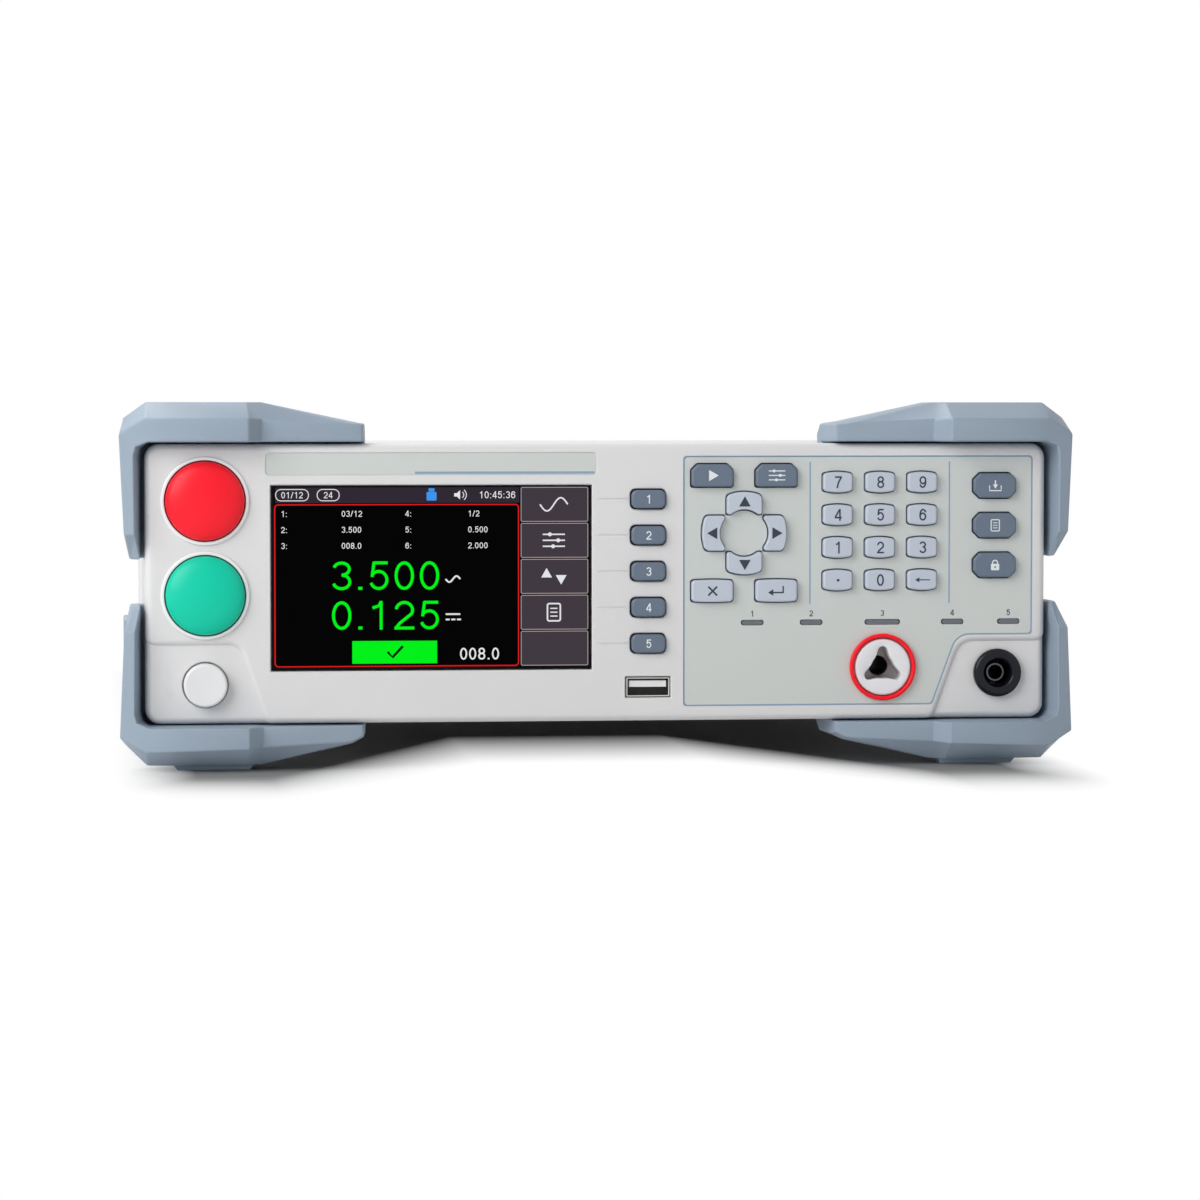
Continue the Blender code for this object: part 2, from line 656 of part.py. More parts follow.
def make_front_panel(finish):
    """A moulded panel: one rounded block, a raised face on it, and a hollow back."""
    bm = bmesh.new()
    rounded_front_block(bm, panel_outline(), FRONT_Y + ZONE_STEP, FRONT_Y + PANEL_RIM, PANEL_EDGE_RADIUS)
    panel = new_object("front_panel", bm, finish)

    bm = bmesh.new()
    face = inset(plateau_outline(), FACE_INSET)
    rounded_front_block(bm, face, FRONT_Y, PANEL_BACK, PANEL_EDGE_RADIUS)
    combine(panel, tool("panel_raised_face", bm), "UNION")

    bm = bmesh.new()
    inner = inset(panel_outline(), PANEL_SIDE_WALL)
    prism(bm, inner, PANEL_BACK, FRONT_Y + PANEL_RIM + 0.002)
    combine(panel, tool("panel_hollow_back", bm), "DIFFERENCE")

    bm = bmesh.new()
    hole = ROUND_BUTTON_DIAMETER / 2 + BUTTON_CLEARANCE
    for z in (STOP_Z, START_Z):
        turned(bm, ROUND_X, z, [(hole + COLLAR_WIDTH * 0.6, FRONT_Y - COLLAR_HEIGHT),
                                (hole + COLLAR_WIDTH, FRONT_Y - COLLAR_HEIGHT * 0.3),
                                (hole + COLLAR_WIDTH, FRONT_Y + ZONE_STEP)])
    for x, z in post_places():
        radius = POST_DIAMETER / 2
        turned(bm, x, z, [(radius, PANEL_BACK - 0.0005), (radius, BOARD_FRONT - FIT)], 8)
    combine(panel, tool("panel_collars_and_posts", bm), "UNION")

    cut_front_panel(panel)
    smooth(panel)
    return panel


def cut_front_panel(panel):
    before = FRONT_Y - 0.004
    after = PANEL_BACK + 0.002
    bm = bmesh.new()
    prism(bm, inset(overlay_outline(), -FIT), before, OVERLAY_FLOOR)
    header_z = WINDOW_Z + WINDOW_HEIGHT / 2 + HEADER_ABOVE_WINDOW + HEADER_HEIGHT / 2
    prism(bm, rectangle(WINDOW_X, header_z, HEADER_WIDTH, HEADER_HEIGHT, 0.0012), before,
          FRONT_Y + HEADER_RECESS)
    window_back = FRONT_Y + WINDOW_RECESS + WINDOW_THICKNESS + FIT
    prism(bm, rectangle(WINDOW_X, WINDOW_Z, WINDOW_WIDTH + 2 * FIT, WINDOW_HEIGHT + 2 * FIT), before,
          window_back)
    combine(panel, tool("panel_recesses", bm), "DIFFERENCE")

    bm = bmesh.new()
    prism(bm, rectangle(WINDOW_X, WINDOW_Z, WINDOW_WIDTH - 2 * WINDOW_LEDGE,
                        WINDOW_HEIGHT - 2 * WINDOW_LEDGE), before, after)
    for name, place, outline, flange, finish in key_plan():
        prism(bm, shifted(outline, place), before, after)
    for z in (STOP_Z, START_Z):
        prism(bm, circle(ROUND_X, z, ROUND_BUTTON_DIAMETER + 2 * BUTTON_CLEARANCE), before, after)
    prism(bm, circle(ROUND_X, POWER_Z, POWER_DIAMETER + 2 * BUTTON_CLEARANCE, 16), before, after)
    prism(bm, circle(HV_X, HV_Z, HV_DIAMETER + 2 * FIT), before, after)
    prism(bm, circle(RETURN_X, RETURN_Z, RETURN_HOLE + 2 * FIT, 16), before, after)
    prism(bm, rectangle(USB_X, USB_Z, USB_WIDTH + 2 * FIT, USB_HEIGHT + 2 * FIT), before, after)
    for x, width in light_bars():
        prism(bm, rectangle(x, LIGHT_Z, width, LIGHT_HEIGHT, LIGHT_HEIGHT * 0.45, 1), before, after)
    combine(panel, tool("panel_holes", bm), "DIFFERENCE")


def make_overlay(finish):
    """The printed sheet round the keys, with a hole for each key, light and outlet."""
    bm = bmesh.new()
    prism(bm, overlay_outline(), OVERLAY_FRONT, OVERLAY_FRONT + OVERLAY_THICKNESS)
    sheet = new_object("keypad_overlay", bm, finish)
    before = OVERLAY_FRONT - 0.001
    after = OVERLAY_FLOOR + 0.001
    bm = bmesh.new()
    for name, place, outline, flange, key_finish in key_plan():
        if not name.startswith("key_f"):
            prism(bm, shifted(outline, place), before, after)
    prism(bm, circle(HV_X, HV_Z, HV_DIAMETER + 2 * FIT), before, after)
    for x, width in light_bars():
        prism(bm, rectangle(x, LIGHT_Z, width, LIGHT_HEIGHT, LIGHT_HEIGHT * 0.45, 1), before, after)
    combine(sheet, tool("overlay_holes", bm), "DIFFERENCE")
    return sheet


def make_key(name, place, opening, collar, finish):
    """A key cap with a bevelled top, a collar behind the panel and a stem to its switch."""
    top = -KEY_PROUD
    under = PANEL_WALL + FIT
    behind = under + KEY_FLANGE_THICKNESS
    stem_end = PANEL_WALL + BOARD_GAP - KEY_TRAVEL - FIT
    cap = inset(opening, KEY_CLEARANCE)
    stem = [(x * KEY_STEM_SHARE, z * KEY_STEM_SHARE) for x, z in cap]
    bm = bmesh.new()
    loft(bm, [at_depth(inset(cap, KEY_BEVEL), top),
              at_depth(cap, top + KEY_BEVEL),
              at_depth(cap, under),
              at_depth(collar, under + 0.0002),
              at_depth(collar, behind),
              at_depth(stem, behind + 0.0002),
              at_depth(stem, stem_end)])
    return new_object(name, bm, finish, (place[0], FRONT_Y, place[1]))


def make_round_button(name, z, finish):
    """A large domed button, its flange and its plunger."""
    radius = ROUND_BUTTON_DIAMETER / 2
    flange = PANEL_WALL + FIT
    dome = [(radius * math.sin(a), -ROUND_BUTTON_EDGE - ROUND_BUTTON_DOME * math.cos(a))
            for a in (math.radians(degrees) for degrees in (30, 56, 76, 90))]
    bm = bmesh.new()
    turned(bm, 0.0, 0.0, [(radius * 0.08, -STOP_PROUD)] + dome +
           [(radius, flange), (radius + COLLAR_WIDTH, flange), (radius + COLLAR_WIDTH, flange + 0.0010),
            (radius * 0.45, flange + 0.0010), (radius * 0.45, BOARD_FRONT - FRONT_Y - ROUND_TRAVEL - FIT)])
    made = new_object(name, bm, finish, (ROUND_X, FRONT_Y, z))
    smooth(made)
    return made


def make_power_button(finish):
    """The mains button, whose rod passes the front board to the switch behind it."""
    radius = POWER_DIAMETER / 2
    top = ZONE_STEP - POWER_PROUD
    flange = PANEL_WALL + FIT
    bm = bmesh.new()
    turned(bm, 0.0, 0.0, [(radius - 0.0008, top), (radius - 0.0003, top + 0.0002), (radius, top + 0.0007),
                          (radius, flange), (radius + 0.0013, flange), (radius + 0.0013, flange + 0.0010),
                          (0.0028, flange + 0.0010), (0.0028, power_rod_end() - FRONT_Y)], 16)
    made = new_object("power_button", bm, finish, (ROUND_X, FRONT_Y, POWER_Z))
    smooth(made)
    return made


def power_rod_end():
    return BOARD_BACK + 0.0040


def make_power_switch(finish):
    """The latching mains switch on its bracket, bolted to the tray."""
    front = power_rod_end() + POWER_TRAVEL + FIT
    half = SWITCH_SIZE / 2
    web = half * 0.7
    floor = TRAY_TOP + FIT
    bm = bmesh.new()
    prism(bm, rectangle(ROUND_X, POWER_Z, SWITCH_SIZE, SWITCH_SIZE, 0.0008, 1), front, front + SWITCH_LENGTH)
    switch = new_object("power_switch", bm, finish)
    bracket = [(-half, floor), (half, floor), (half, floor + SHEET), (web, floor + SHEET), (web, POWER_Z),
               (-web, POWER_Z), (-web, floor + SHEET), (-half, floor + SHEET)]
    bm = bmesh.new()
    behind = front + SWITCH_BRACKET_START
    prism(bm, [(ROUND_X + x, z) for x, z in bracket], behind, behind + SWITCH_BRACKET_LENGTH)
    combine(switch, tool("switch_bracket", bm), "UNION")
    return switch


def make_display(window_finish, module_finish):
    front = FRONT_Y + WINDOW_RECESS
    bm = bmesh.new()
    prism(bm, rectangle(WINDOW_X, WINDOW_Z, WINDOW_WIDTH, WINDOW_HEIGHT), front, front + WINDOW_THICKNESS)
    new_object("display_window", bm, window_finish)
    front = PANEL_BACK + FIT
    back = BOARD_FRONT - FIT
    bm = bmesh.new()
    whole = rectangle(WINDOW_X, WINDOW_Z, MODULE_WIDTH, MODULE_HEIGHT, 0.0010, 2)
    glass = rectangle(WINDOW_X, WINDOW_Z, MODULE_WIDTH - 0.004, MODULE_HEIGHT - 0.004, 0.0006, 2)
    loft(bm, [at_depth(glass, front), at_depth(glass, front + 0.0008), at_depth(whole, front + 0.0008),
              at_depth(whole, back)])
    new_object("display_module", bm, module_finish)


def make_light_guide(finish):
    """Five clear windows on one bar behind the panel."""
    bar_front = PANEL_BACK + FIT
    bars = light_bars()
    first, last = bars[0][0], bars[-1][0]
    width = last - first + LIGHT_WIDTH + 2 * LIGHT_BAR_END
    bm = bmesh.new()
    prism(bm, rectangle((first + last) / 2, LIGHT_Z, width, LIGHT_BAR_HEIGHT), bar_front, BOARD_FRONT - FIT)
    guide = new_object("indicator_light_guide", bm, finish)
    bm = bmesh.new()
    for x, bar_width in bars:
        outline = inset(rectangle(x, LIGHT_Z, bar_width, LIGHT_HEIGHT, LIGHT_HEIGHT * 0.45, 1), FIT * 0.5)
        prism(bm, outline, OVERLAY_FRONT, bar_front + 0.0010)
    combine(guide, tool("light_windows", bm), "UNION")
    return guide


def lobed_outline(x, z):
    """The three-lobed well of the high voltage outlet."""
    points = []
    lobes = 3
    for lobe in range(lobes):
        middle = math.pi / 2 + lobe * 2 * math.pi / lobes
        out = Vector((math.cos(middle), math.sin(middle)))
        across = Vector((-out.y, out.x))
        centre = out * (HV_LOBE_REACH - HV_LOBE_RADIUS)
        for step in range(5):
            angle = math.radians(-80 + 40 * step)
            point = centre + (out * math.cos(angle) + across * math.sin(angle)) * HV_LOBE_RADIUS
            points.append((x + point.x, z + point.y))
        waist = middle + math.pi / lobes
        for turn in (-0.28, 0.28):
            points.append((x + HV_WAIST_RADIUS * math.cos(waist + turn),
                           z + HV_WAIST_RADIUS * math.sin(waist + turn)))
    return points


def make_hv_socket(body_finish, ring_finish):
    radius = HV_DIAMETER / 2
    front = FRONT_Y - HV_PROUD
    flange = PANEL_BACK + FIT
    bm = bmesh.new()
    turned(bm, HV_X, HV_Z, [(radius - 0.0010, front), (radius, front + 0.0005), (radius, flange),
                            (radius + 0.0022, flange), (radius + 0.0022, flange + 0.0020),
                            (radius, flange + 0.0020), (radius, front + HV_LENGTH)])
    socket = new_object("hv_socket", bm, body_finish)
    well_end = front + HV_WELL_DEPTH
    bm = bmesh.new()
    prism(bm, lobed_outline(HV_X, HV_Z), front - 0.001, well_end)
    combine(socket, tool("hv_well", bm), "DIFFERENCE")
    bm = bmesh.new()
    prism(bm, circle(HV_X, HV_Z, HV_BORE_DIAMETER, 16), well_end - 0.0005, well_end + HV_BORE_DEPTH)
    combine(socket, tool("hv_bore", bm), "DIFFERENCE")
    smooth(socket)

    inner = radius + FIT
    outer = HV_RING_DIAMETER / 2
    back = OVERLAY_FRONT - FIT
    bm = bmesh.new()
    turned_ring(bm, HV_X, HV_Z, [(inner, back), (outer, back), (outer, back - HV_RING_HEIGHT * 0.6),
                                 (outer - 0.0004, back - HV_RING_HEIGHT),
                                 (inner + 0.0003, back - HV_RING_HEIGHT),
                                 (inner, back - HV_RING_HEIGHT * 0.7)])
    smooth(new_object("hv_socket_ring", bm, ring_finish))


def make_return_socket(finish):
    """A shrouded jack: a round rim, a deep well and the contact sleeve in it."""
    face = FRONT_Y + ZONE_STEP
    front = face - RETURN_PROUD
    outer = RETURN_DIAMETER / 2
    body = RETURN_HOLE / 2
    well = RETURN_RECESS / 2
    seat = face - FIT
    end = front + RETURN_LENGTH
    sleeve_front = front + CONTACT_SETBACK
    sleeve = CONTACT_DIAMETER / 2
    bore = CONTACT_BORE / 2
    floor = end - 0.003
    nut = PANEL_BACK + FIT
    bm = bmesh.new()
    turned_ring(bm, RETURN_X, RETURN_Z, [
        (well + 0.0005, front + 0.0003), (outer - 0.0014, front), (outer - 0.0004, front + 0.0007),
        (outer, front + 0.0018), (outer, seat), (body, seat), (body, nut), (body + 0.0015, nut),
        (body + 0.0015, nut + 0.0022), (body, nut + 0.0022), (body, end), (bore, end),
        (bore, sleeve_front), (sleeve, sleeve_front), (sleeve, floor), (well, floor),
        (well, front + 0.0009)], 16)
    smooth(new_object("rtn_socket", bm, finish))


def make_usb_port(finish):
    """A metal shell, and the tongue that carries the contacts in its upper half."""
    front = FRONT_Y + FIT
    back = BOARD_FRONT - FIT
    outside = rectangle(USB_X, USB_Z, USB_WIDTH, USB_HEIGHT)
    bm = bmesh.new()
    prism(bm, outside, front, back)
    port = new_object("usb_port", bm, finish)
    bm = bmesh.new()
    prism(bm, inset(outside, USB_WALL), front - 0.001, back - 0.0008)
    combine(port, tool("usb_hollow", bm), "DIFFERENCE")
    width = USB_WIDTH - 2 * USB_WALL - 0.0012
    top = USB_Z + USB_HEIGHT / 2 - USB_WALL - 0.0006
    bm = bmesh.new()
    box(bm, USB_X - width / 2, USB_X + width / 2, front + 0.0008, back - 0.0003, top - USB_TONGUE, top)
    combine(port, tool("usb_tongue", bm), "UNION")
    return port


def make_front_board(finish):
    """The circuit board behind the panel: it carries the display, the key switches and the port."""
    margin = PANEL_SIDE_WALL + BOARD_MARGIN
    outline = rectangle(0.0, MIDDLE_Z, PANEL_WIDTH - 2 * margin,
                        PANEL_HEIGHT - 2 * margin, 0.002, 2)
    bm = bmesh.new()
    prism(bm, outline, BOARD_FRONT, BOARD_BACK)
    board = new_object("front_board", bm, finish)
    before = BOARD_FRONT - 0.001
    after = BOARD_BACK + 0.001
    bm = bmesh.new()
    prism(bm, circle(HV_X, HV_Z, HV_DIAMETER + 0.003, 16), before, after)
    prism(bm, circle(RETURN_X, RETURN_Z, RETURN_HOLE + 0.003, 16), before, after)
    prism(bm, circle(ROUND_X, POWER_Z, 0.0080, 12), before, after)
    combine(board, tool("board_holes", bm), "DIFFERENCE")
    return board


def make_tray(finish):
    """The bottom of the case, folded up at both sides and at the back."""
    half = COVER_HALF - SHEET - FIT
    profile = [(-half, COVER_BOTTOM), (half, COVER_BOTTOM), (half, COVER_BOTTOM + TRAY_FLANGE),
               (half - SHEET, COVER_BOTTOM + TRAY_FLANGE), (half - SHEET, TRAY_TOP),
               (-half + SHEET, TRAY_TOP), (-half + SHEET, COVER_BOTTOM + TRAY_FLANGE),
               (-half, COVER_BOTTOM + TRAY_FLANGE)]
    bm = bmesh.new()
    prism(bm, profile, CASE_FRONT, REAR_FACE)
    tray = new_object("chassis_tray", bm, finish)
    bm = bmesh.new()
    near = CASE_FRONT + TRAY_SLOT_FROM_FRONT
    wide = TRAY_SLOT_WIDTH / 2
    for index in range(TRAY_SLOT_COUNT):
        x = (index - (TRAY_SLOT_COUNT - 1) / 2) * TRAY_SLOT_PITCH
        box(bm, x - wide, x + wide, near, near + TRAY_SLOT_LENGTH,
            COVER_BOTTOM - CUT_THROUGH, TRAY_TOP + CUT_THROUGH)
    combine(tray, tool("tray_slots", bm), "DIFFERENCE")
    return tray


def make_cover(finish):
    """The folded cover: top and both sides, with a row of air slots in each side."""
    half = COVER_HALF
    thin = SHEET
    corners = [(half, COVER_BOTTOM), (half, COVER_TOP), (-half, COVER_TOP), (-half, COVER_BOTTOM)]
    outer = rounded(corners, [0.0, COVER_CORNER, COVER_CORNER, 0.0], 4)
    inner_corners = [(half - thin, COVER_BOTTOM), (half - thin, COVER_TOP - thin),
                     (-half + thin, COVER_TOP - thin), (-half + thin, COVER_BOTTOM)]
    inner = rounded(inner_corners, [0.0, COVER_CORNER - thin, COVER_CORNER - thin, 0.0], 4)
    bm = bmesh.new()
    prism(bm, outer + list(reversed(inner)), CASE_FRONT, REAR_Y)
    cover = new_object("top_cover", bm, finish)
    bm = bmesh.new()
    for side in (-1, 1):
        for index in range(SIDE_SLOT_COUNT):
            y = CASE_FRONT + SIDE_SLOT_FROM_FRONT + index * SIDE_SLOT_PITCH
            x0, x1 = sorted((side * (half - 2 * thin), side * (half + thin)))
            box(bm, x0, x1, y, y + SIDE_SLOT_WIDTH, BOTTOM + SIDE_SLOT_FROM_EDGE, TOP - SIDE_SLOT_FROM_EDGE)
    combine(cover, tool("cover_slots", bm), "DIFFERENCE")
    smooth(cover)
    return cover


def grille_slots():
    """Level slots cut to a round field in front of the fan."""
    field = FAN_BORE / 2 - 0.002
    pitch = 2 * field / GRILLE_SLOTS
    for index in range(GRILLE_SLOTS):
        z = FAN_Z + (index - (GRILLE_SLOTS - 1) / 2) * pitch
        reach = math.sqrt(field ** 2 - (z - FAN_Z) ** 2)
        yield z, 2 * reach, pitch * 0.55


def make_rear_panel(finish):
    half = COVER_HALF - SHEET - FIT
    low = TRAY_TOP + FIT
    high = COVER_TOP - SHEET - FIT
    corner = COVER_CORNER - SHEET
    inner_half = half - SHEET - FIT
    outline = rounded([(-inner_half, low), (inner_half, low), (inner_half, high), (-inner_half, high)],
                      [0.0, 0.0, corner, corner], 3)
    bm = bmesh.new()
    prism(bm, outline, REAR_FACE - SHEET, REAR_FACE)
    panel = new_object("rear_panel", bm, finish)
    before = REAR_FACE - SHEET - CUT_THROUGH
    after = REAR_FACE + CUT_THROUGH
    bm = bmesh.new()
    for z, width, height in grille_slots():
        prism(bm, rectangle(FAN_X, z, width, height), before, after)
    inlet_height = INLET_FLANGE_HEIGHT - 2 * INLET_FLANGE_MARGIN
    prism(bm, rectangle(INLET_X, INLET_Z, INLET_BODY_WIDTH + 2 * FIT, inlet_height + 2 * FIT), before, after)
    prism(bm, rectangle(SERIAL_X, SERIAL_Z, SERIAL_CUTOUT_WIDTH + 2 * FIT, SERIAL_CUTOUT_HEIGHT + 2 * FIT),
          before, after)
    combine(panel, tool("rear_holes", bm), "DIFFERENCE")
    return panel


def make_fan(frame_finish, rotor_finish):
    half = FAN_SIZE / 2
    front = FAN_BACK - FAN_DEPTH
    bm = bmesh.new()
    prism(bm, rectangle(FAN_X, FAN_Z, FAN_SIZE, FAN_SIZE, 0.003, 3), front, FAN_BACK)
    frame = new_object("fan_frame", bm, frame_finish)
    bm = bmesh.new()
    prism(bm, circle(FAN_X, FAN_Z, FAN_BORE, 24), front - 0.001, FAN_BACK + 0.001)
    reach = FAN_SCREW_PITCH / 2
    for sx in (-1, 1):
        for sz in (-1, 1):
            prism(bm, circle(FAN_X + sx * reach, FAN_Z + sz * reach, FAN_SCREW_HOLE, 8),
                  front - 0.001, FAN_BACK + 0.001)
    combine(frame, tool("fan_bore", bm), "DIFFERENCE")
    strut_front = FAN_BACK - FAN_STRUT
    bm = bmesh.new()
    inner = FAN_HUB / 2 - 0.001
    outer = FAN_BORE / 2 + 0.0010
    for quarter in range(4):
        turn = quarter * math.pi / 2 + math.radians(20)
        c, s = math.cos(turn), math.sin(turn)
        wide = FAN_STRUT / 2
        corners = [(inner, -wide), (outer, -wide), (outer, wide), (inner, wide)]
        strut = [(FAN_X + a * c - b * s, FAN_Z + a * s + b * c) for a, b in corners]
        prism(bm, strut, strut_front, FAN_BACK)
    combine(frame, tool("fan_struts", bm), "UNION")
    bm = bmesh.new()
    turned(bm, FAN_X, FAN_Z, [(FAN_SHAFT / 2, front + 0.006), (FAN_SHAFT / 2, strut_front),
                              (FAN_HUB / 2, strut_front), (FAN_HUB / 2, FAN_BACK)], 20)
    combine(frame, tool("fan_hub_plate", bm), "UNION")
    smooth(frame)
    make_fan_rotor(rotor_finish, front, strut_front)


def make_fan_rotor(finish, front, strut_front):
    """A hub on the shaft, with twisted blades round it."""
    hub = FAN_HUB / 2
    tip = FAN_BORE / 2 - FAN_BLADE_GAP
    rotor_front = front + 0.0012
    rotor_back = strut_front - 0.0006
    mid = (rotor_front + rotor_back) / 2
    bore = FAN_SHAFT / 2 + FIT
    bm = bmesh.new()
    turned_ring(bm, 0.0, 0.0, [(hub - 0.0010, rotor_front - mid), (hub, rotor_front - mid + 0.0010),
                               (hub, rotor_back - mid), (bore, rotor_back - mid),
                               (bore, front + 0.0045 - mid), (bore, rotor_front - mid)], 20)
    rotor = new_object("fan_rotor", bm, finish, (FAN_X, mid, FAN_Z))
    bm = bmesh.new()
    depth = (rotor_back - rotor_front) * 0.42
    for blade in range(FAN_BLADE_COUNT):
        base = 2 * math.pi * blade / FAN_BLADE_COUNT
        rings = []
        for step in range(3):
            share = step / 2
            radius = hub - 0.0015 + (tip - hub + 0.0015) * share
            sweep = base + 0.30 * share
            half_angle = (0.0085 + 0.0045 * share) / radius
            ring = []
            for side, thick in ((-1, -0.0005), (1, -0.0005), (1, 0.0005), (-1, 0.0005)):
                angle = sweep + side * half_angle
                ring.append((radius * math.cos(angle), side * depth + thick, radius * math.sin(angle)))
            rings.append(ring)
        loft(bm, rings)
    blades = tool("fan_blades", bm)
    blades.location = rotor.location
    combine(rotor, blades, "UNION")
    smooth(rotor)


def make_mains_inlet(finish, fuse_finish):
    """A three-pin appliance inlet above a fuse drawer."""
    flange_front = REAR_FACE + FIT
    flange_back = flange_front + INLET_FLANGE_THICKNESS
    body_front = flange_front - INLET_BODY_DEPTH
    body_height = INLET_FLANGE_HEIGHT - 2 * INLET_FLANGE_MARGIN
    cavity_z = INLET_Z + body_height / 2 - INLET_WALL - INLET_CAVITY_HEIGHT / 2
    fuse_z = INLET_Z - body_height / 2 + INLET_WALL + FUSE_HEIGHT / 2
    bm = bmesh.new()
    prism(bm, rectangle(INLET_X, INLET_Z, INLET_FLANGE_WIDTH, INLET_FLANGE_HEIGHT, 0.003, 3),
          flange_front, flange_back)
    inlet = new_object("mains_inlet", bm, finish)
    bm = bmesh.new()
    prism(bm, rectangle(INLET_X, INLET_Z, INLET_BODY_WIDTH, body_height), body_front, flange_front + 0.001)
    combine(inlet, tool("inlet_body", bm), "UNION")
    bm = bmesh.new()
    w, h = INLET_CAVITY_WIDTH / 2, INLET_CAVITY_HEIGHT / 2
    cut = INLET_CORNER_CUT
    cavity = [(INLET_X - w, cavity_z - h), (INLET_X + w, cavity_z - h), (INLET_X + w, cavity_z + h - cut),
              (INLET_X + w - cut, cavity_z + h), (INLET_X - w + cut, cavity_z + h),
              (INLET_X - w, cavity_z + h - cut)]
    prism(bm, cavity, flange_back - INLET_CAVITY_DEPTH, flange_back + 0.001)
    fuse_front = flange_back - FUSE_DEPTH
    prism(bm, rectangle(INLET_X, fuse_z, FUSE_WIDTH + 2 * FIT, FUSE_HEIGHT + 2 * FIT),
          fuse_front - FIT, flange_back + 0.001)
    for side in (-1, 1):
        hole = circle(INLET_X + side * INLET_SCREW_PITCH / 2, INLET_Z, INLET_SCREW_HOLE, 12)
        prism(bm, hole, flange_front - 0.001, flange_back + 0.001)
    combine(inlet, tool("inlet_hollows", bm), "DIFFERENCE")
    bm = bmesh.new()
    pin_foot = flange_back - INLET_CAVITY_DEPTH
    wide, high = PIN_WIDTH / 2, PIN_HEIGHT / 2
    for x, z in ((-PIN_PITCH / 2, -PIN_OFFSET), (PIN_PITCH / 2, -PIN_OFFSET), (0.0, PIN_OFFSET)):
        box(bm, INLET_X + x - wide, INLET_X + x + wide, pin_foot - CUT_THROUGH, pin_foot + PIN_LENGTH,
            cavity_z + z - high, cavity_z + z + high)
    combine(inlet, tool("inlet_pins", bm), "UNION")

    bm = bmesh.new()
    prism(bm, rectangle(0.0, 0.0, FUSE_WIDTH, FUSE_HEIGHT), -FUSE_DEPTH, 0.0)
    prism_top = rectangle(0.0, 0.0, FUSE_WIDTH * 0.30, FUSE_HEIGHT * 0.35)
    drawer = new_object("fuse_drawer", bm, fuse_finish, (INLET_X, flange_back, fuse_z))
    bm = bmesh.new()
    prism(bm, prism_top, -CUT_THROUGH, FUSE_GRIP_PROUD)
    grip = tool("fuse_grip", bm)
    grip.location = drawer.location
    combine(drawer, grip, "UNION")
    bm = bmesh.new()
    prism(bm, rectangle(0.0, 0.0011, FUSE_WIDTH * 0.8, FUSE_HEIGHT), -FUSE_DEPTH * 0.92, -FUSE_DEPTH * 0.12)
    cradle = tool("fuse_cradle", bm)
    cradle.location = drawer.location
    combine(drawer, cradle, "DIFFERENCE")


def make_serial_port(finish):
    """A nine-way serial socket: a flange inside its D-shaped shell, and two jack posts."""
    flange_front = REAR_FACE + FIT
    flange_back = flange_front + SERIAL_FLANGE_THICKNESS
    w, h = SERIAL_SHELL_WIDTH / 2, SERIAL_SHELL_HEIGHT / 2
    foot = w - SERIAL_SHELL_SLOPE
    shell = rounded([(SERIAL_X - foot, SERIAL_Z - h), (SERIAL_X + foot, SERIAL_Z - h),
                     (SERIAL_X + w, SERIAL_Z + h), (SERIAL_X - w, SERIAL_Z + h)], SERIAL_SHELL_CORNER, 2)
    bm = bmesh.new()
    prism(bm, rectangle(SERIAL_X, SERIAL_Z, SERIAL_FLANGE_WIDTH, SERIAL_FLANGE_HEIGHT, 0.001, 2),
          flange_front, flange_back)
    port = new_object("serial_port", bm, finish)
    bm = bmesh.new()
    prism(bm, shell, flange_front - SERIAL_DEPTH, flange_back + SERIAL_SHELL_PROUD)
    for side in (-1, 1):
        post = circle(SERIAL_X + side * SERIAL_JACK_PITCH / 2, SERIAL_Z, SERIAL_JACK_DIAMETER, 6)
        prism(bm, post, (flange_front + flange_back) / 2, flange_back + SERIAL_JACK_PROUD)
    combine(port, tool("serial_shell", bm), "UNION")
    return port


def main_board_sides():
    return LEFT + MAIN_BOARD_FROM_SIDE, OVERLAY_LEFT - MAIN_BOARD_FROM_OVERLAY


def make_transformer(finish):
    """The high voltage transformer: a laminated core round a wound coil, on a foot at each end."""
    x = main_board_sides()[1] + BOARD_TO_TRANSFORMER + TRANSFORMER_FOOT_WIDTH / 2
    y = REAR_FACE - TRANSFORMER_FROM_REAR
    floor = TRAY_TOP + FIT
    wide, deep = CORE_WIDTH / 2, CORE_DEPTH / 2
    bm = bmesh.new()
    box(bm, x - wide, x + wide, y - deep, y + deep, floor, floor + CORE_HEIGHT)
    core = new_object("hv_transformer", bm, finish)
    bm = bmesh.new()
    coil = rectangle(x, floor + CORE_HEIGHT / 2, COIL_WIDTH, COIL_HEIGHT, COIL_CORNER, 3)
    prism(bm, coil, y - COIL_LENGTH / 2, y + COIL_LENGTH / 2)
    combine(core, tool("transformer_coil", bm), "UNION")
    wide, deep = TRANSFORMER_FOOT_WIDTH / 2, TRANSFORMER_FOOT_DEPTH / 2
    bm = bmesh.new()
    box(bm, x - wide, x + wide, y - deep, y + deep, floor, floor + TRANSFORMER_FOOT)
    combine(core, tool("transformer_feet", bm), "UNION")
    return core


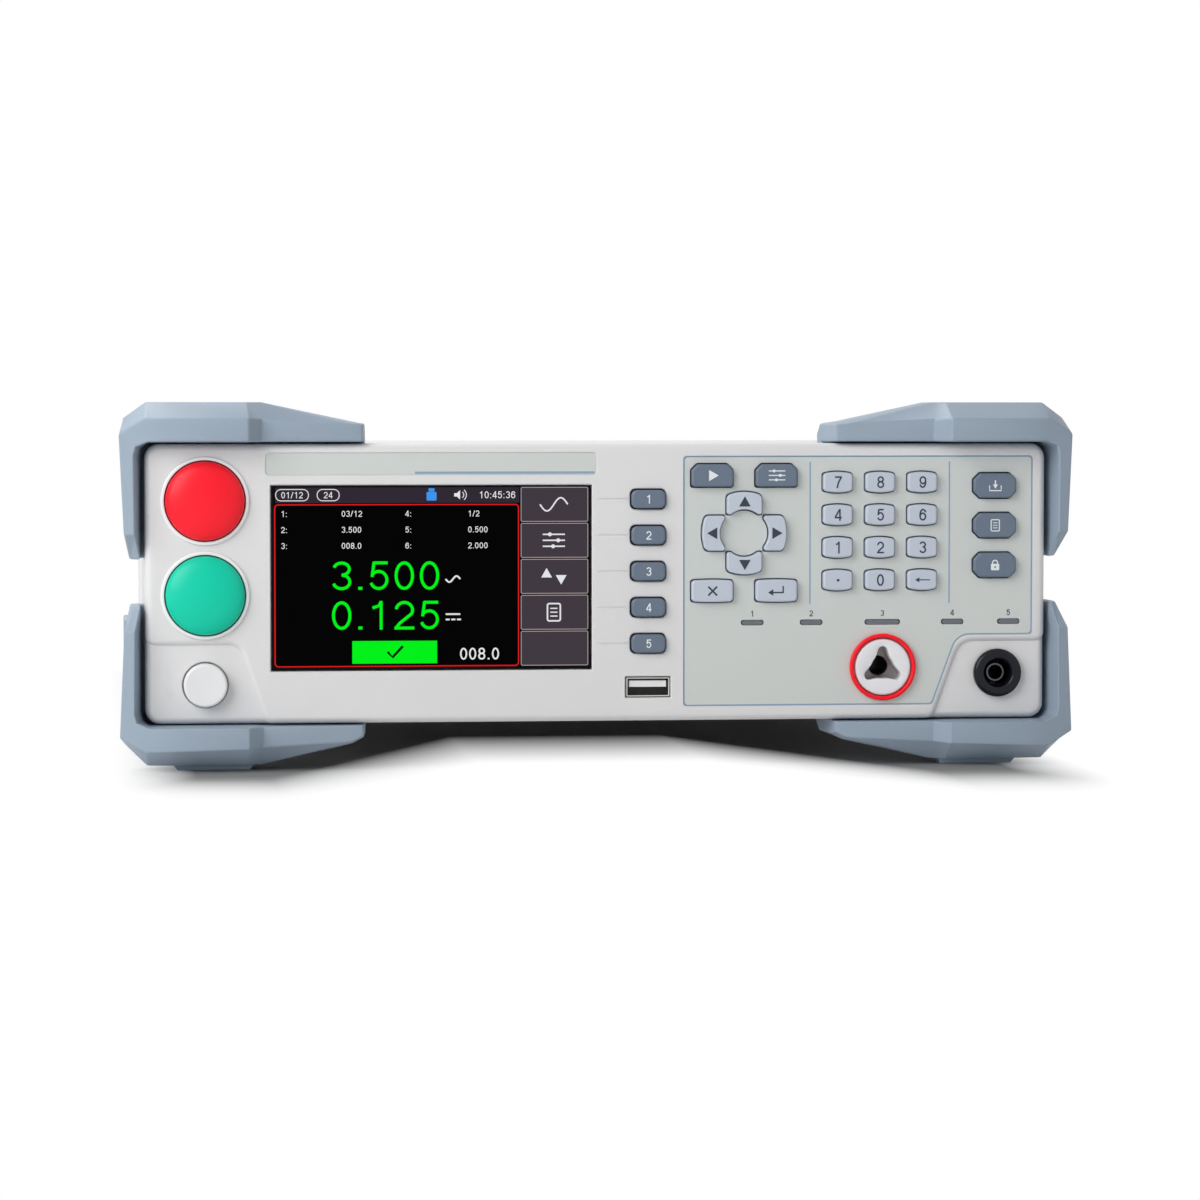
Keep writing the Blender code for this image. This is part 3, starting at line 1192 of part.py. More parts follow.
def make_main_board(finish):
    """The power and measuring board on four standoffs, with its heat sink and capacitors."""
    x0, x1 = main_board_sides()
    y0, y1 = CASE_FRONT + MAIN_BOARD_FROM_END, REAR_FACE - MAIN_BOARD_FROM_END
    floor = TRAY_TOP + FIT
    deck = floor + STANDOFF_HEIGHT
    half = STANDOFF_WIDTH / 2
    bm = bmesh.new()
    box(bm, x0, x1, y0, y1, deck, deck + BOARD)
    board = new_object("main_board", bm, finish)
    bm = bmesh.new()
    for x in (x0 + STANDOFF_INSET, x1 - STANDOFF_INSET):
        for y in (y0 + STANDOFF_INSET, y1 - STANDOFF_INSET):
            box(bm, x - half, x + half, y - half, y + half, floor, deck + PART_SINK)
    top = deck + BOARD - PART_SINK
    fin = x0 + HEAT_SINK_FROM_SIDE
    box(bm, fin, fin + HEAT_SINK_THICKNESS, y0 + HEAT_SINK_FROM_SIDE, y1 - HEAT_SINK_FROM_REAR,
        top, top + HEAT_SINK_HEIGHT)
    for index in range(3):
        x = x0 + CAPACITOR_FROM_SIDE + index * CAPACITOR_PITCH
        can = circle(x, y0 + CAPACITOR_FROM_FRONT, CAPACITOR_DIAMETER, 16)
        loft(bm, [[(a, b, z) for a, b in can] for z in (top, top + CAPACITOR_HEIGHT)])
    combine(board, tool("main_board_parts", bm), "UNION")
    return board


def guard_sections(upper):
    """Stations along one front corner guard, from the inner end of its level arm to the end of
    its upright arm. Each gives, as a distance from the case's middle plane and a height: the
    inner and the outer edge of the front lip, the outer edge behind its chamfer, the inner
    wall round the panel and the seat on the case. The last item is how far the lip's inner and
    outer edge stand back, or None where the tilt gives it."""
    half = PANEL_WIDTH / 2
    side = half + GUARD_SIDE
    sign = 1 if upper else -1
    edge = TOP if upper else BOTTOM
    seat = COVER_TOP + FIT if upper else COVER_BOTTOM - FIT
    seat_side = COVER_HALF + FIT
    wall = FIT * 1.2
    wall_side = half + GUARD_SIDE_GAP
    arm = abs(edge - MIDDLE_Z - GUARD_MEETING) - GUARD_HALF_GAP
    lips = [0.78, 0.80, 0.96, 1.00, 1.00, 1.01] if upper else [0.50, 0.72, 0.90, 0.93, 1.03, 1.07]
    lips = [GUARD_LIP * share for share in lips]
    tapers = [GUARD_LIP * 0.80, GUARD_LIP * 0.90] if upper else [GUARD_LIP * 0.60, GUARD_LIP * 0.86]
    cut = GUARD_LIP * (0.40 if upper else 0.50)
    cut_back = GUARD_DEEP * (0.60 if upper else 0.46)
    end_step, end_out, end_back = (0.0033, 0.0031, UPPER_ARM_END_BACK)
    if not upper:
        end_step, end_out, end_back = (0.0044, 0.0034, LOWER_ARM_END_BACK)

    def level(distance, amount):
        return (distance, edge + sign * amount)

    def arm_section(x, lip, outer, back):
        return (level(x, FIT * 2), level(x, lip), level(x, outer), level(x, wall), (x, seat), (back, back))

    end = half - GUARD_REACH
    thin = half - GUARD_STEP_START - GUARD_STEP_RUN
    knee = arm - GUARD_END_RUN
    corner = COVER_CORNER + FIT if upper else SHEET
    nook = corner * 0.29 if upper else 0.0
    return [
        arm_section(end, lips[0], tapers[0], GUARD_STEP * 1.23),
        arm_section(end + GUARD_END_LEAN + 0.0024, lips[1], tapers[1], GUARD_STEP * 1.12),
        arm_section(thin, lips[2], GUARD_DEEP, GUARD_STEP),
        arm_section(half - GUARD_STEP_START, lips[3], GUARD_DEEP, 0.0),
        arm_section(half - GUARD_TILT_START, lips[4], GUARD_DEEP, 0.0),
        (level(half - 0.0012, FIT * 2), level(half - 0.0001, lips[5]), level(half - 0.0006, GUARD_DEEP),
         level(half - 0.0012, wall), (seat_side - corner, seat), None),
        (level(half + 0.0026, -0.0010), level(half + GUARD_SIDE / 2, (lips[5] + cut) / 2),
         level(side - 0.0047, (GUARD_DEEP + cut_back) / 2), level(wall_side - 0.0006, -0.0010),
         (seat_side - nook, seat - sign * nook), None),
        (level(half + 0.0032, -0.0034), level(side, cut), level(side - 0.0013, cut_back),
         level(wall_side, -0.0034), (seat_side, seat - sign * corner), None),
        (level(half + 0.0030, -knee), level(side - 0.0014, -knee), level(side - 0.0019, -knee),
         level(wall_side, -knee), (seat_side, edge - sign * knee), None),
        (level(half + 0.0014, -arm), level(side - end_step, -arm), level(side - end_out, -arm),
         level(wall_side, -arm), (seat_side, edge - sign * arm), end_back),
    ]


def guard_ring(section, side):
    """One closed section of a front guard, from its lip round to its seat on the case."""
    lip_in, lip_out, outer, wall, seat, backs = section
    tilt_start = PANEL_WIDTH / 2 - GUARD_TILT_START
    if backs is None:
        backs = [max(point[0] - tilt_start, 0.0) * GUARD_TILT for point in (lip_in, lip_out)]
    tail = tuple(s + (o - s) * 0.55 for s, o in zip(seat, outer))
    lip_y, out_y = -GUARD_FRONT + backs[0], -GUARD_FRONT + backs[1]
    end = GUARD_LENGTH
    shoulder = out_y + max(GUARD_CHAMFER - backs[1] * 0.6, 0.0030)
    step_y = PANEL_RIM + 2 * FIT
    flare_y = min(max(lip_y + 0.0100, 0.0020), step_y - 0.0010)
    points = [(lip_in, lip_y), (lip_out, out_y), (outer, shoulder), (outer, end - GUARD_TAIL), (tail, end),
              (seat, end), (seat, step_y), (wall, step_y), (wall, flare_y)]
    return [(side * distance, FRONT_Y + depth, z) for (distance, z), depth in points]


def rear_guard_rings(side, upper):
    """Stations along one rear corner guard: a plain rounded angle that wraps the case's rear
    corner, with a hook behind the case. It stays within the outline of the guard in front."""
    sign = 1 if upper else -1
    edge = TOP if upper else BOTTOM
    seat = COVER_TOP + FIT if upper else COVER_BOTTOM - FIT
    seat_side = COVER_HALF + FIT
    outside = PANEL_WIDTH / 2 + REAR_GUARD_SIDE
    over = edge + sign * (REAR_GUARD_HEIGHT if upper else GUARD_DEEP)
    reach = REAR_UPPER_REACH if upper else REAR_LOWER_REACH
    corner = COVER_CORNER + FIT if upper else SHEET
    nook = corner * 0.29 if upper else 0.0
    round_off = REAR_GUARD_ROUND
    hook = REAR_GUARD_HOOK
    arm_z = edge - sign * REAR_ARM
    inner = PANEL_WIDTH / 2 - reach
    stations = [
        ((inner, seat - sign * hook), (inner, seat), (inner, over)),
        ((seat_side - corner - hook, seat - sign * hook), (seat_side - corner, seat),
         (outside - round_off, over)),
        ((seat_side - hook, seat - sign * (hook + 0.0006)), (seat_side - nook, seat - sign * nook),
         (outside - round_off * 0.29, over - sign * round_off * 0.29)),
        ((seat_side - hook, seat - sign * (hook + 0.0012)), (seat_side, seat - sign * corner),
         (outside, over - sign * round_off)),
        ((seat_side - hook, arm_z), (seat_side, arm_z), (outside, arm_z)),
    ]
    back_y, end = -REAR_GUARD_PROUD, REAR_GUARD_LENGTH
    rings = []
    for hook_at, seat_at, outer in stations:
        back = tuple(s + (o - s) * 0.62 for s, o in zip(seat_at, outer))
        tail = tuple(s + (o - s) * 0.45 for s, o in zip(seat_at, outer))
        points = [(hook_at, back_y), (back, back_y), (outer, back_y + REAR_GUARD_EDGE),
                  (outer, end - REAR_GUARD_EDGE), (tail, end), (seat_at, end), (seat_at, -FIT),
                  (hook_at, -FIT)]
        rings.append([(side * distance, REAR_Y - depth, z) for (distance, z), depth in points])
    return rings


def front_guard_rings(side, upper):
    """The sections of a front guard. The level arm's inner end leans: its front edge stands
    further out than its back edge."""
    rings = [guard_ring(section, side) for section in guard_sections(upper)]
    depth = GUARD_LENGTH + GUARD_FRONT
    tail_y = FRONT_Y + GUARD_LENGTH
    rings[0] = [(x + side * GUARD_END_LEAN * (tail_y - y) / depth, y, z) for x, y, z in rings[0]]
    return rings


def make_guard(name, side, upper, rear, finish):
    bm = bmesh.new()
    loft(bm, rear_guard_rings(side, upper) if rear else front_guard_rings(side, upper))
    guard = new_object(name, bm, finish)
    if not upper:
        outside = PANEL_WIDTH / 2 - FOOT_FROM_SIDE
        x0, x1 = sorted((side * outside, side * (outside - FOOT_WIDTH)))
        near, far = FOOT_FROM_END, FOOT_FROM_END + FOOT_LENGTH
        y0, y1 = (REAR_Y - far, REAR_Y - near) if rear else (FRONT_Y + near, FRONT_Y + far)
        rings = []
        for shrink, z in ((-FOOT_SLOPE * 0.6, FOOT_HEIGHT * 1.6), (FOOT_SLOPE, 0.0)):
            rings.append([(x0 + shrink, y0 + shrink, z), (x1 - shrink, y0 + shrink, z),
                          (x1 - shrink, y1 - shrink, z), (x0 + shrink, y1 - shrink, z)])
        bm = bmesh.new()
        loft(bm, rings)
        combine(guard, tool(name + "_foot", bm), "UNION")
    return guard


def make_guards(finish):
    for rear in (False, True):
        end = "rear" if rear else "front"
        for upper in (True, False):
            level = "upper" if upper else "lower"
            for side, hand in ((-1, "left"), (1, "right")):
                make_guard(f"guard_{end}_{level}_{hand}", side, upper, rear, finish)


def build():
    clear_scene()
    panel_grey = material("panel_moulding", (0.78, 0.78, 0.79), 0.45)
    overlay_grey = material("overlay_film", (0.62, 0.66, 0.64), 0.40)
    light_key = material("light_key", (0.68, 0.71, 0.79), 0.45)
    dark_key = material("dark_key", (0.22, 0.26, 0.33), 0.45)
    red = material("stop_red", (0.85, 0.03, 0.05), 0.25)
    green = material("start_green", (0.0, 0.62, 0.42), 0.25)
    white = material("white_moulding", (0.86, 0.86, 0.88), 0.35)
    black = material("black_moulding", (0.02, 0.02, 0.022), 0.35)
    lens = material("display_glass", (0.01, 0.01, 0.012), 0.08)
    metal = material("bright_plate", (0.72, 0.72, 0.72), 0.30, 1.0)
    paint = material("case_paint", (0.76, 0.76, 0.76), 0.50)
    rubber = material("guard_rubber", (0.36, 0.42, 0.50), 0.60)
    board = material("circuit_board", (0.03, 0.20, 0.09), 0.50)
    iron = material("transformer_iron", (0.10, 0.10, 0.11), 0.50, 0.6)
    smoke = material("light_guide", (0.12, 0.15, 0.17), 0.25)
    key_finishes = {"key_light": light_key, "key_dark": dark_key}

    make_front_panel(panel_grey)
    make_overlay(overlay_grey)
    for name, place, opening, collar, finish in key_plan():
        make_key(name, place, opening, collar, key_finishes[finish])
    make_round_button("stop_button", STOP_Z, red)
    make_round_button("start_button", START_Z, green)
    make_power_button(white)
    make_power_switch(black)
    make_display(lens, black)
    make_light_guide(smoke)
    make_hv_socket(white, red)
    make_return_socket(black)
    make_usb_port(metal)
    make_front_board(board)
    make_tray(paint)
    make_cover(paint)
    make_rear_panel(paint)
    make_fan(black, black)
    make_mains_inlet(black, black)
    make_serial_port(metal)
    make_transformer(iron)
    make_main_board(board)
    make_guards(rubber)


build()
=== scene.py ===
"""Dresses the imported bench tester: smooth mouldings, keys with their print, a lit display,
rubber guards, the fittings of the back, and a plain studio. Metres, in the frame of the solids:
+X to the right, +Y to the back, +Z up."""
import json
import math

import bmesh
import bpy
import numpy as np
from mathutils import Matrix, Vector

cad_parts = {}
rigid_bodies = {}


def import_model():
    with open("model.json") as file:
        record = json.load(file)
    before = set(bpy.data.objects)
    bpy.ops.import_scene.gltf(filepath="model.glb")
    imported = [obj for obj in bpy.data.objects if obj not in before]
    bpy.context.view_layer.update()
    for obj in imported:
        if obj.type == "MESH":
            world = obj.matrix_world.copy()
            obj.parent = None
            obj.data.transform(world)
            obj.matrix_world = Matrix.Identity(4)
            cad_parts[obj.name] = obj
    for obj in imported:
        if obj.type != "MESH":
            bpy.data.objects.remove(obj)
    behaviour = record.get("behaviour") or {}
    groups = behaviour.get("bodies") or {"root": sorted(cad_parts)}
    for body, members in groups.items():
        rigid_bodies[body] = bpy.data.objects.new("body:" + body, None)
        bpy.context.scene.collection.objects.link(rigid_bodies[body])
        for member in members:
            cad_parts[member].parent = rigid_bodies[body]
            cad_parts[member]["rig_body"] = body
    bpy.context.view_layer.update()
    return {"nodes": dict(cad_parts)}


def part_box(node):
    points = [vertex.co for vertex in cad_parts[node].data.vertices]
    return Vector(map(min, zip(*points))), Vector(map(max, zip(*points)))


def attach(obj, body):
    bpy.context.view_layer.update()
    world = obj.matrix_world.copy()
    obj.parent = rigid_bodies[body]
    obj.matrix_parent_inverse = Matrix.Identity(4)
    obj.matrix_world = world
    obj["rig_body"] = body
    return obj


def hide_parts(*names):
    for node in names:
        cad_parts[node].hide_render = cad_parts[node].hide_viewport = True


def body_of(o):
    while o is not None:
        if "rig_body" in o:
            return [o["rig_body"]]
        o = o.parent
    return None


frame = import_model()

bl_info = {
    "name": "Bench tester dresser",
    "version": (1, 0, 0),
    "blender": (4, 5, 0),
    "location": "View3D > Sidebar > Tester",
    "description": "Finishes and fine pieces for a bench high voltage tester",
    "category": "Object",
}

# Clearances and levels shared with the solids
FIT = 0.0003
OVERLAY_LOW, OVERLAY_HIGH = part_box("keypad_overlay")
FACE = OVERLAY_LOW.y - FIT
ZONE_STEP = 0.0012
PANEL_LOW, PANEL_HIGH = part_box("front_panel")
CASE = "case"
INK = 0.00002
SMALL = 1e-7


def node_middle(name):
    low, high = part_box(name)
    return (low + high) / 2


# Settings shown in the sidebar

def length(name, words, default, low, high):
    return bpy.props.FloatProperty(name=name, description=words, default=default, min=low, max=high,
                                   unit="LENGTH", precision=5)


def colour(name, words, *default):
    return bpy.props.FloatVectorProperty(name=name, description=words, subtype="COLOR", size=3,
                                         default=default)


def amount(name, words, default, high):
    return bpy.props.FloatProperty(name=name, description=words, default=default, min=0.0, max=high)


class TesterSizes(bpy.types.PropertyGroup):
    key_edge: length("Key edge", "Radius of the rolled edge of a key's top", 0.0006, 0.0001, 0.0010)
    digit_height: length("Digit height", "Height of the digits printed on the keys", 0.0036, 0.001, 0.006)
    line_width: length("Line width", "Width of the printed border lines", 0.00042, 0.0001, 0.001)
    guard_edge: length("Guard edge", "Radius of the rolled edges of the guards", 0.0007, 0.0001, 0.002)
    sides: bpy.props.IntProperty(
        name="Sides", description="Facets round a turned piece", default=96, min=24, max=192)


class TesterColours(bpy.types.PropertyGroup):
    panel: colour("Panel", "Moulded front panel and case", 0.73, 0.725, 0.73)
    overlay: colour("Overlay", "Film round the keys", 0.60, 0.635, 0.615)
    border: colour("Border lines", "Printed lines of the overlay", 0.24, 0.36, 0.50)
    light_key: colour("Light keys", "Number, arrow and answer keys", 0.525, 0.575, 0.665)
    dark_key: colour("Dark keys", "Function keys", 0.125, 0.165, 0.225)
    stop: colour("Stop", "Stop button", 0.98, 0.009, 0.024)
    start: colour("Start", "Start button", 0.0, 0.60, 0.395)
    guard: colour("Guards", "Rubber corner guards", 0.29, 0.36, 0.44)
    digits: colour("Readout", "Large digits of the display", 0.0, 0.90, 0.01)


class StudioSettings(bpy.types.PropertyGroup):
    lens: amount("Lens", "Focal length for a 36 mm sensor, in millimetres", 129.3, 400.0)
    key_power: amount("Key lamp", "Power of the lamp at the left, in watts", 15.4, 500.0)
    fill_power: amount("Fill lamp", "Power of the lamp at the right, in watts", 1.2, 500.0)
    top_power: amount("Top lamp", "Power of the lamp above and behind, in watts", 9.0, 500.0)
    ambient: amount("Ambient", "Strength of the even light from all sides", 0.35, 2.0)


# Materials

class Value:
    """An output socket. Python's operators on it add Math nodes to its material."""

    def __init__(self, finish, socket):
        self.finish = finish
        self.socket = socket

    def maths(self, operation, *values):
        return self.finish.node("ShaderNodeMath", {"operation": operation}, dict(enumerate(values)))

    def __add__(self, other):
        return self.maths("ADD", self, other)

    def __sub__(self, other):
        return self.maths("SUBTRACT", self, other)

    def __rsub__(self, other):
        return self.maths("SUBTRACT", other, self)

    def __mul__(self, other):
        return self.maths("MULTIPLY", self, other)

    def __truediv__(self, other):
        return self.maths("DIVIDE", self, other)

    def __pow__(self, other):
        return self.maths("POWER", self, other)

    def __gt__(self, other):
        return self.maths("GREATER_THAN", self, other)

    __radd__ = __add__
    __rmul__ = __mul__

    def at_least(self, other):
        return self.maths("MAXIMUM", self, other)

    def clamped(self):
        return self.maths("MINIMUM", self.at_least(0.0), 1.0)

    def wave(self):
        return self.maths("SINE", self)

    def size(self):
        return self.maths("ABSOLUTE", self)


class Finish:
    """A material on Object coordinates. Its one method node adds any node to it."""

    def __init__(self, name, colour, roughness, metallic=0.0, coat=0.0, specular=0.5):
        self.material = bpy.data.materials.new(name)
        self.material.use_nodes = True
        self.tree = self.material.node_tree
        self.shader = self.tree.nodes["Principled BSDF"]
        for socket, value in (("Base Color", (*colour, 1.0)), ("Roughness", roughness),
                              ("Metallic", metallic), ("Coat Weight", coat), ("Coat Roughness", 0.08),
                              ("Specular IOR Level", specular)):
            self.shader.inputs[socket].default_value = value
        place = self.tree.nodes.new("ShaderNodeTexCoord")
        self.place = Value(self, place.outputs["Object"])

    def node(self, kind, settings=None, values=None, output=0):
        made = self.tree.nodes.new(kind)
        for name, setting in (settings or {}).items():
            setattr(made, name, setting)
        for socket, value in (values or {}).items():
            self.feed(made.inputs[socket], value)
        return Value(self, made.outputs[output])

    def feed(self, socket, value):
        if isinstance(value, Value):
            self.tree.links.new(value.socket, socket)
        else:
            socket.default_value = value

    def paint(self, socket, value):
        self.feed(self.shader.inputs[socket], value)

    def axis(self, name):
        return self.node("ShaderNodeSeparateXYZ", values={0: self.place}, output="XYZ".index(name))

    def noise(self, scale, detail=2.0, stretch=None):
        place = self.place
        if stretch:
            place = self.node("ShaderNodeMapping", values={"Vector": place, "Scale": stretch})
        return self.node("ShaderNodeTexNoise", values={"Vector": place, "Scale": scale, "Detail": detail})

    def blend(self, mask, low, high):
        """Colour low where the mask is 0 and high where it is 1."""
        return self.node("ShaderNodeMix", {"data_type": "RGBA"}, {0: mask, 6: low, 7: high}, 2)

    def tint(self, mask, colour, low, high):
        """The colour, scaled by low where the mask is 0 and by high where it is 1."""
        self.paint("Base Color", self.blend(mask, shade(colour, low), shade(colour, high)))

    def gloss(self, mask, spread, middle):
        """A roughness that swings by half the spread to each side of its middle."""
        self.paint("Roughness", (mask - 0.5) * spread + middle)

    def bump(self, height, distance, strength=1.0):
        bumped = self.node("ShaderNodeBump", values={"Height": height, "Distance": distance,
                                                      "Strength": strength})
        self.paint("Normal", bumped)


def shade(colour, amount):
    """The colour scaled, as a node's colour."""
    return (*(min(part * amount, 1.0) for part in tuple(colour)[:3]), 1.0)


def moulded(name, colour, roughness, grain=900.0, relief=0.000012, coat=0.0):
    """Moulded plastic: spark-eroded grain, a slow drift of tone and uneven gloss."""
    made = Finish(name, colour, roughness, coat=coat)
    made.tint(made.noise(14.0, 3.0), colour, 0.97, 1.03)
    made.gloss(made.noise(120.0), 0.12, roughness)
    made.bump(made.noise(grain), relief)
    return made.material


def rubber(name, colour):
    """Guard rubber: matt, finely pitted, a little paler where its grain stands up."""
    made = Finish(name, colour, 0.55)
    pits, drift = made.noise(1600.0, 3.0), made.noise(22.0, 3.0)
    made.tint(pits * 0.35 + drift * 0.65, colour, 0.93, 1.07)
    made.gloss(drift, 0.16, 0.52)
    made.bump(pits, 0.00003, 0.7)
    return made.material


def painted(name, colour):
    """Powder coat on sheet metal: soft orange peel under a half gloss."""
    made = Finish(name, colour, 0.42)
    peel, fine = made.noise(520.0), made.noise(2400.0)
    made.tint(made.noise(9.0), colour, 0.97, 1.03)
    made.gloss(fine, 0.15, 0.43)
    made.bump(peel * 0.7 + fine * 0.3, 0.00005, 0.8)
    return made.material


def film(name, colour):
    """Printed film: a fine matt emboss with a thin sheen and dust-fine speckle."""
    made = Finish(name, colour, 0.38, coat=0.15)
    speckle = made.noise(2600.0, 1.0)
    made.tint(made.noise(10.0) * 0.7 + speckle * 0.3, colour, 0.97, 1.03)
    made.gloss(speckle, 0.12, 0.39)
    made.bump(speckle, 0.000006)
    return made.material


def brushed(name, colour, roughness=0.3):
    """Plated or machined metal with fine lines along its height."""
    made = Finish(name, colour, roughness, metallic=1.0)
    lines, cloud = made.noise(900.0, 3.0, (1.0, 1.0, 14.0)), made.noise(90.0)
    made.tint(cloud, colour, 0.90, 1.06)
    made.gloss(cloud, 0.12, (lines - 0.5) * 0.22 + roughness)
    made.bump(lines, 0.000008, 0.6)
    return made.material


def glossy_cap(name, colour):
    """A button of coloured plastic: a satin gloss, and colour with a faint drift."""
    made = Finish(name, colour, 0.36, specular=0.26)
    fine = made.noise(1400.0)
    made.tint(made.noise(60.0), colour, 0.97, 1.02)
    made.gloss(fine, 0.08, 0.36)
    made.bump(fine, 0.000004)
    return made.material


def gloss_black(name):
    """Polished black plastic with a cold cast: a sharp gloss that wanders with handling."""
    cold = (0.0055, 0.007, 0.012)
    made = Finish(name, cold, 0.20, specular=0.22)
    cloud = made.noise(160.0)
    made.tint(cloud, cold, 0.73, 1.27)
    made.gloss(cloud, 0.10, 0.19)
    made.bump(made.noise(1500.0, 1.0), 0.000003)
    return made.material


def ink(name, colour):
    """Screen print: slightly uneven cover and a matt film."""
    made = Finish(name, colour, 0.5)
    cover = made.noise(3200.0)
    made.tint(cover, colour, 0.94, 1.06)
    made.gloss(cover, 0.2, 0.5)
    return made.material


def lit(name, *colour):
    """A lit part of the display: its light is a little uneven, as a backlight is."""
    made = Finish(name, (0.0004, 0.0004, 0.0005), 0.12, specular=0.01)
    made.shader.inputs["Emission Strength"].default_value = 1.0
    made.paint("Emission Color", made.blend(made.noise(30.0, 1.0), shade(colour, 0.94), shade(colour, 1.0)))
    made.gloss(made.noise(40.0, 1.0), 0.05, 0.125)
    return made.material


def screen_glass(name):
    """Black cover glass: near mirror gloss with the faint haze of handling."""
    dark = (0.0045, 0.0045, 0.0055)
    made = Finish(name, dark, 0.07, specular=0.03)
    haze = made.noise(45.0, 3.0)
    made.tint(haze, dark, 0.67, 1.33)
    made.gloss(haze, 0.10, 0.09)
    return made.material


def insulator(name, front):
    """The outlet's white insulator, with painted shade: down its well its colour goes over to a darker
    grey, and the bore at the bottom is painted dark."""
    white = (0.80, 0.80, 0.83)
    made = Finish(name, white, 0.35)
    depth = made.axis("Y") - front
    # Painted shade: down the well the white goes over to a darker grey with depth.
    wall = made.blend(((depth - 0.0010) / 0.0040).clamped(), (*white, 1.0), (0.50, 0.45, 0.45, 1.0))
    # Painted shade: the bore at the bottom of the well is painted dark.
    bore = ((depth - 0.0090) / 0.0006).clamped()
    made.paint("Base Color", made.blend(bore, wall, (0.060, 0.045, 0.046, 1.0)))
    made.gloss(made.noise(150.0), 0.12, 0.35)
    made.bump(made.noise(1100.0), 0.000006)
    return made.material


def board_green(name):
    """Solder mask: glossy green with darker lands and the faint lines of its tracks."""
    made = Finish(name, (0.02, 0.13, 0.06), 0.35, coat=0.3)
    tracks = ((made.axis("X") * 2600.0).wave() * (made.axis("Y") * 1900.0).wave() > 0.72)
    patches = made.noise(130.0, 2.0)
    mask = (tracks * 0.6 + patches * 0.5).clamped()
    made.paint("Base Color", made.blend(mask, (0.012, 0.10, 0.045, 1.0), (0.04, 0.20, 0.10, 1.0)))
    made.paint("Roughness", patches * 0.2 + 0.28)
    made.bump(mask, 0.00002)
    return made.material


def laminated(name):
    """Transformer iron: a stack of varnished sheets with a taped coil's amber in its grain."""
    made = Finish(name, (0.05, 0.05, 0.055), 0.45, metallic=0.6)
    sheets = ((made.axis("Y") * 6500.0).wave() * 0.5 + 0.5)
    cloud = made.noise(90.0, 3.0)
    made.paint("Base Color", made.blend(sheets * 0.6 + cloud * 0.4, (0.03, 0.03, 0.034, 1.0),
                                        (0.11, 0.10, 0.09, 1.0)))
    made.paint("Roughness", cloud * 0.3 + 0.3)
    made.bump(sheets, 0.00006)
    return made.material


FINISHES = {}


def make_finishes(colours):
    """Fills the table of finishes that the pieces pick from."""
    def add(maker, *made):
        FINISHES.update({key: maker(name, *values) for key, name, *values in made})

    add(moulded,
        ("panel", "panel_moulding", colours.panel, 0.42),
        ("white", "white_moulding", (0.80, 0.80, 0.81), 0.34),
        # Painted highlight: the ring over each button's collar gets a lighter white than the panel.
        ("collar_highlight", "collar_painted_highlight", (0.86, 0.86, 0.87), 0.32),
        ("light_key", "light_key", colours.light_key, 0.36, 1400.0, 0.000006),
        ("dark_key", "dark_key", colours.dark_key, 0.36, 1400.0, 0.000006),
        ("matt_black", "black_nylon", (0.016, 0.016, 0.018), 0.5, 700.0, 0.00002),
        ("window", "light_window", (0.12, 0.135, 0.155), 0.28, 500.0, 0.000012, 0.3),
        ("terminal", "terminal_block", (0.012, 0.20, 0.07), 0.4))
    add(glossy_cap, ("stop", "stop_red", colours.stop), ("start", "start_green", colours.start),
        ("ring", "ring_red", (1.0, 0.006, 0.020)))
    add(brushed,
        ("plate", "zinc_plate", (0.62, 0.63, 0.65)),
        ("nickel", "nickel_plate", (0.66, 0.65, 0.62), 0.22),
        # Painted shade: the return jack's sleeve, deep in the jack, is nickel given a dark metal colour.
        ("dark_metal", "sleeve_painted_shade", (0.10, 0.10, 0.11), 0.30),
        ("gold", "gold_contact", (0.83, 0.50, 0.22), 0.25),
        ("brass", "brass_post", (0.72, 0.50, 0.22), 0.28))
    add(ink, ("border", "border_ink", colours.border), ("dark_ink", "dark_ink", (0.018, 0.028, 0.045)),
        ("white_ink", "white_ink", (0.78, 0.81, 0.85)))
    add(lit,
        ("digits", "readout_green", *colours.digits),
        ("picture_white", "picture_white", 0.80, 0.80, 0.82),
        ("picture_red", "picture_red", 0.75, 0.01, 0.01),
        ("picture_blue", "picture_blue", 0.05, 0.30, 0.85),
        ("picture_bar", "picture_bar", 0.030, 0.022, 0.033),
        ("picture_cell", "picture_cell", 0.054, 0.042, 0.054),
        ("picture_rim", "picture_rim", 0.40, 0.33, 0.33),
        ("picture_black", "picture_black", 0.0004, 0.0004, 0.0004))
    add(rubber, ("guard", "guard_rubber", colours.guard))
    add(painted, ("case", "case_paint", colours.panel))
    add(film, ("overlay", "overlay_film", colours.overlay))
    add(insulator, ("insulator", "outlet_insulator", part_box("hv_socket")[0].y))
    for maker, key, name in ((gloss_black, "black", "black_moulding"),
                             (screen_glass, "glass", "display_glass"),
                             (board_green, "green_board", "circuit_board"),
                             (laminated, "iron", "transformer_iron")):
        add(maker, (key, name))


# Outlines are arrays of (x, z) points that run anticlockwise seen from the front

def unit(vectors):
    return vectors / np.maximum(np.linalg.norm(vectors, axis=-1, keepdims=True), 1e-12)


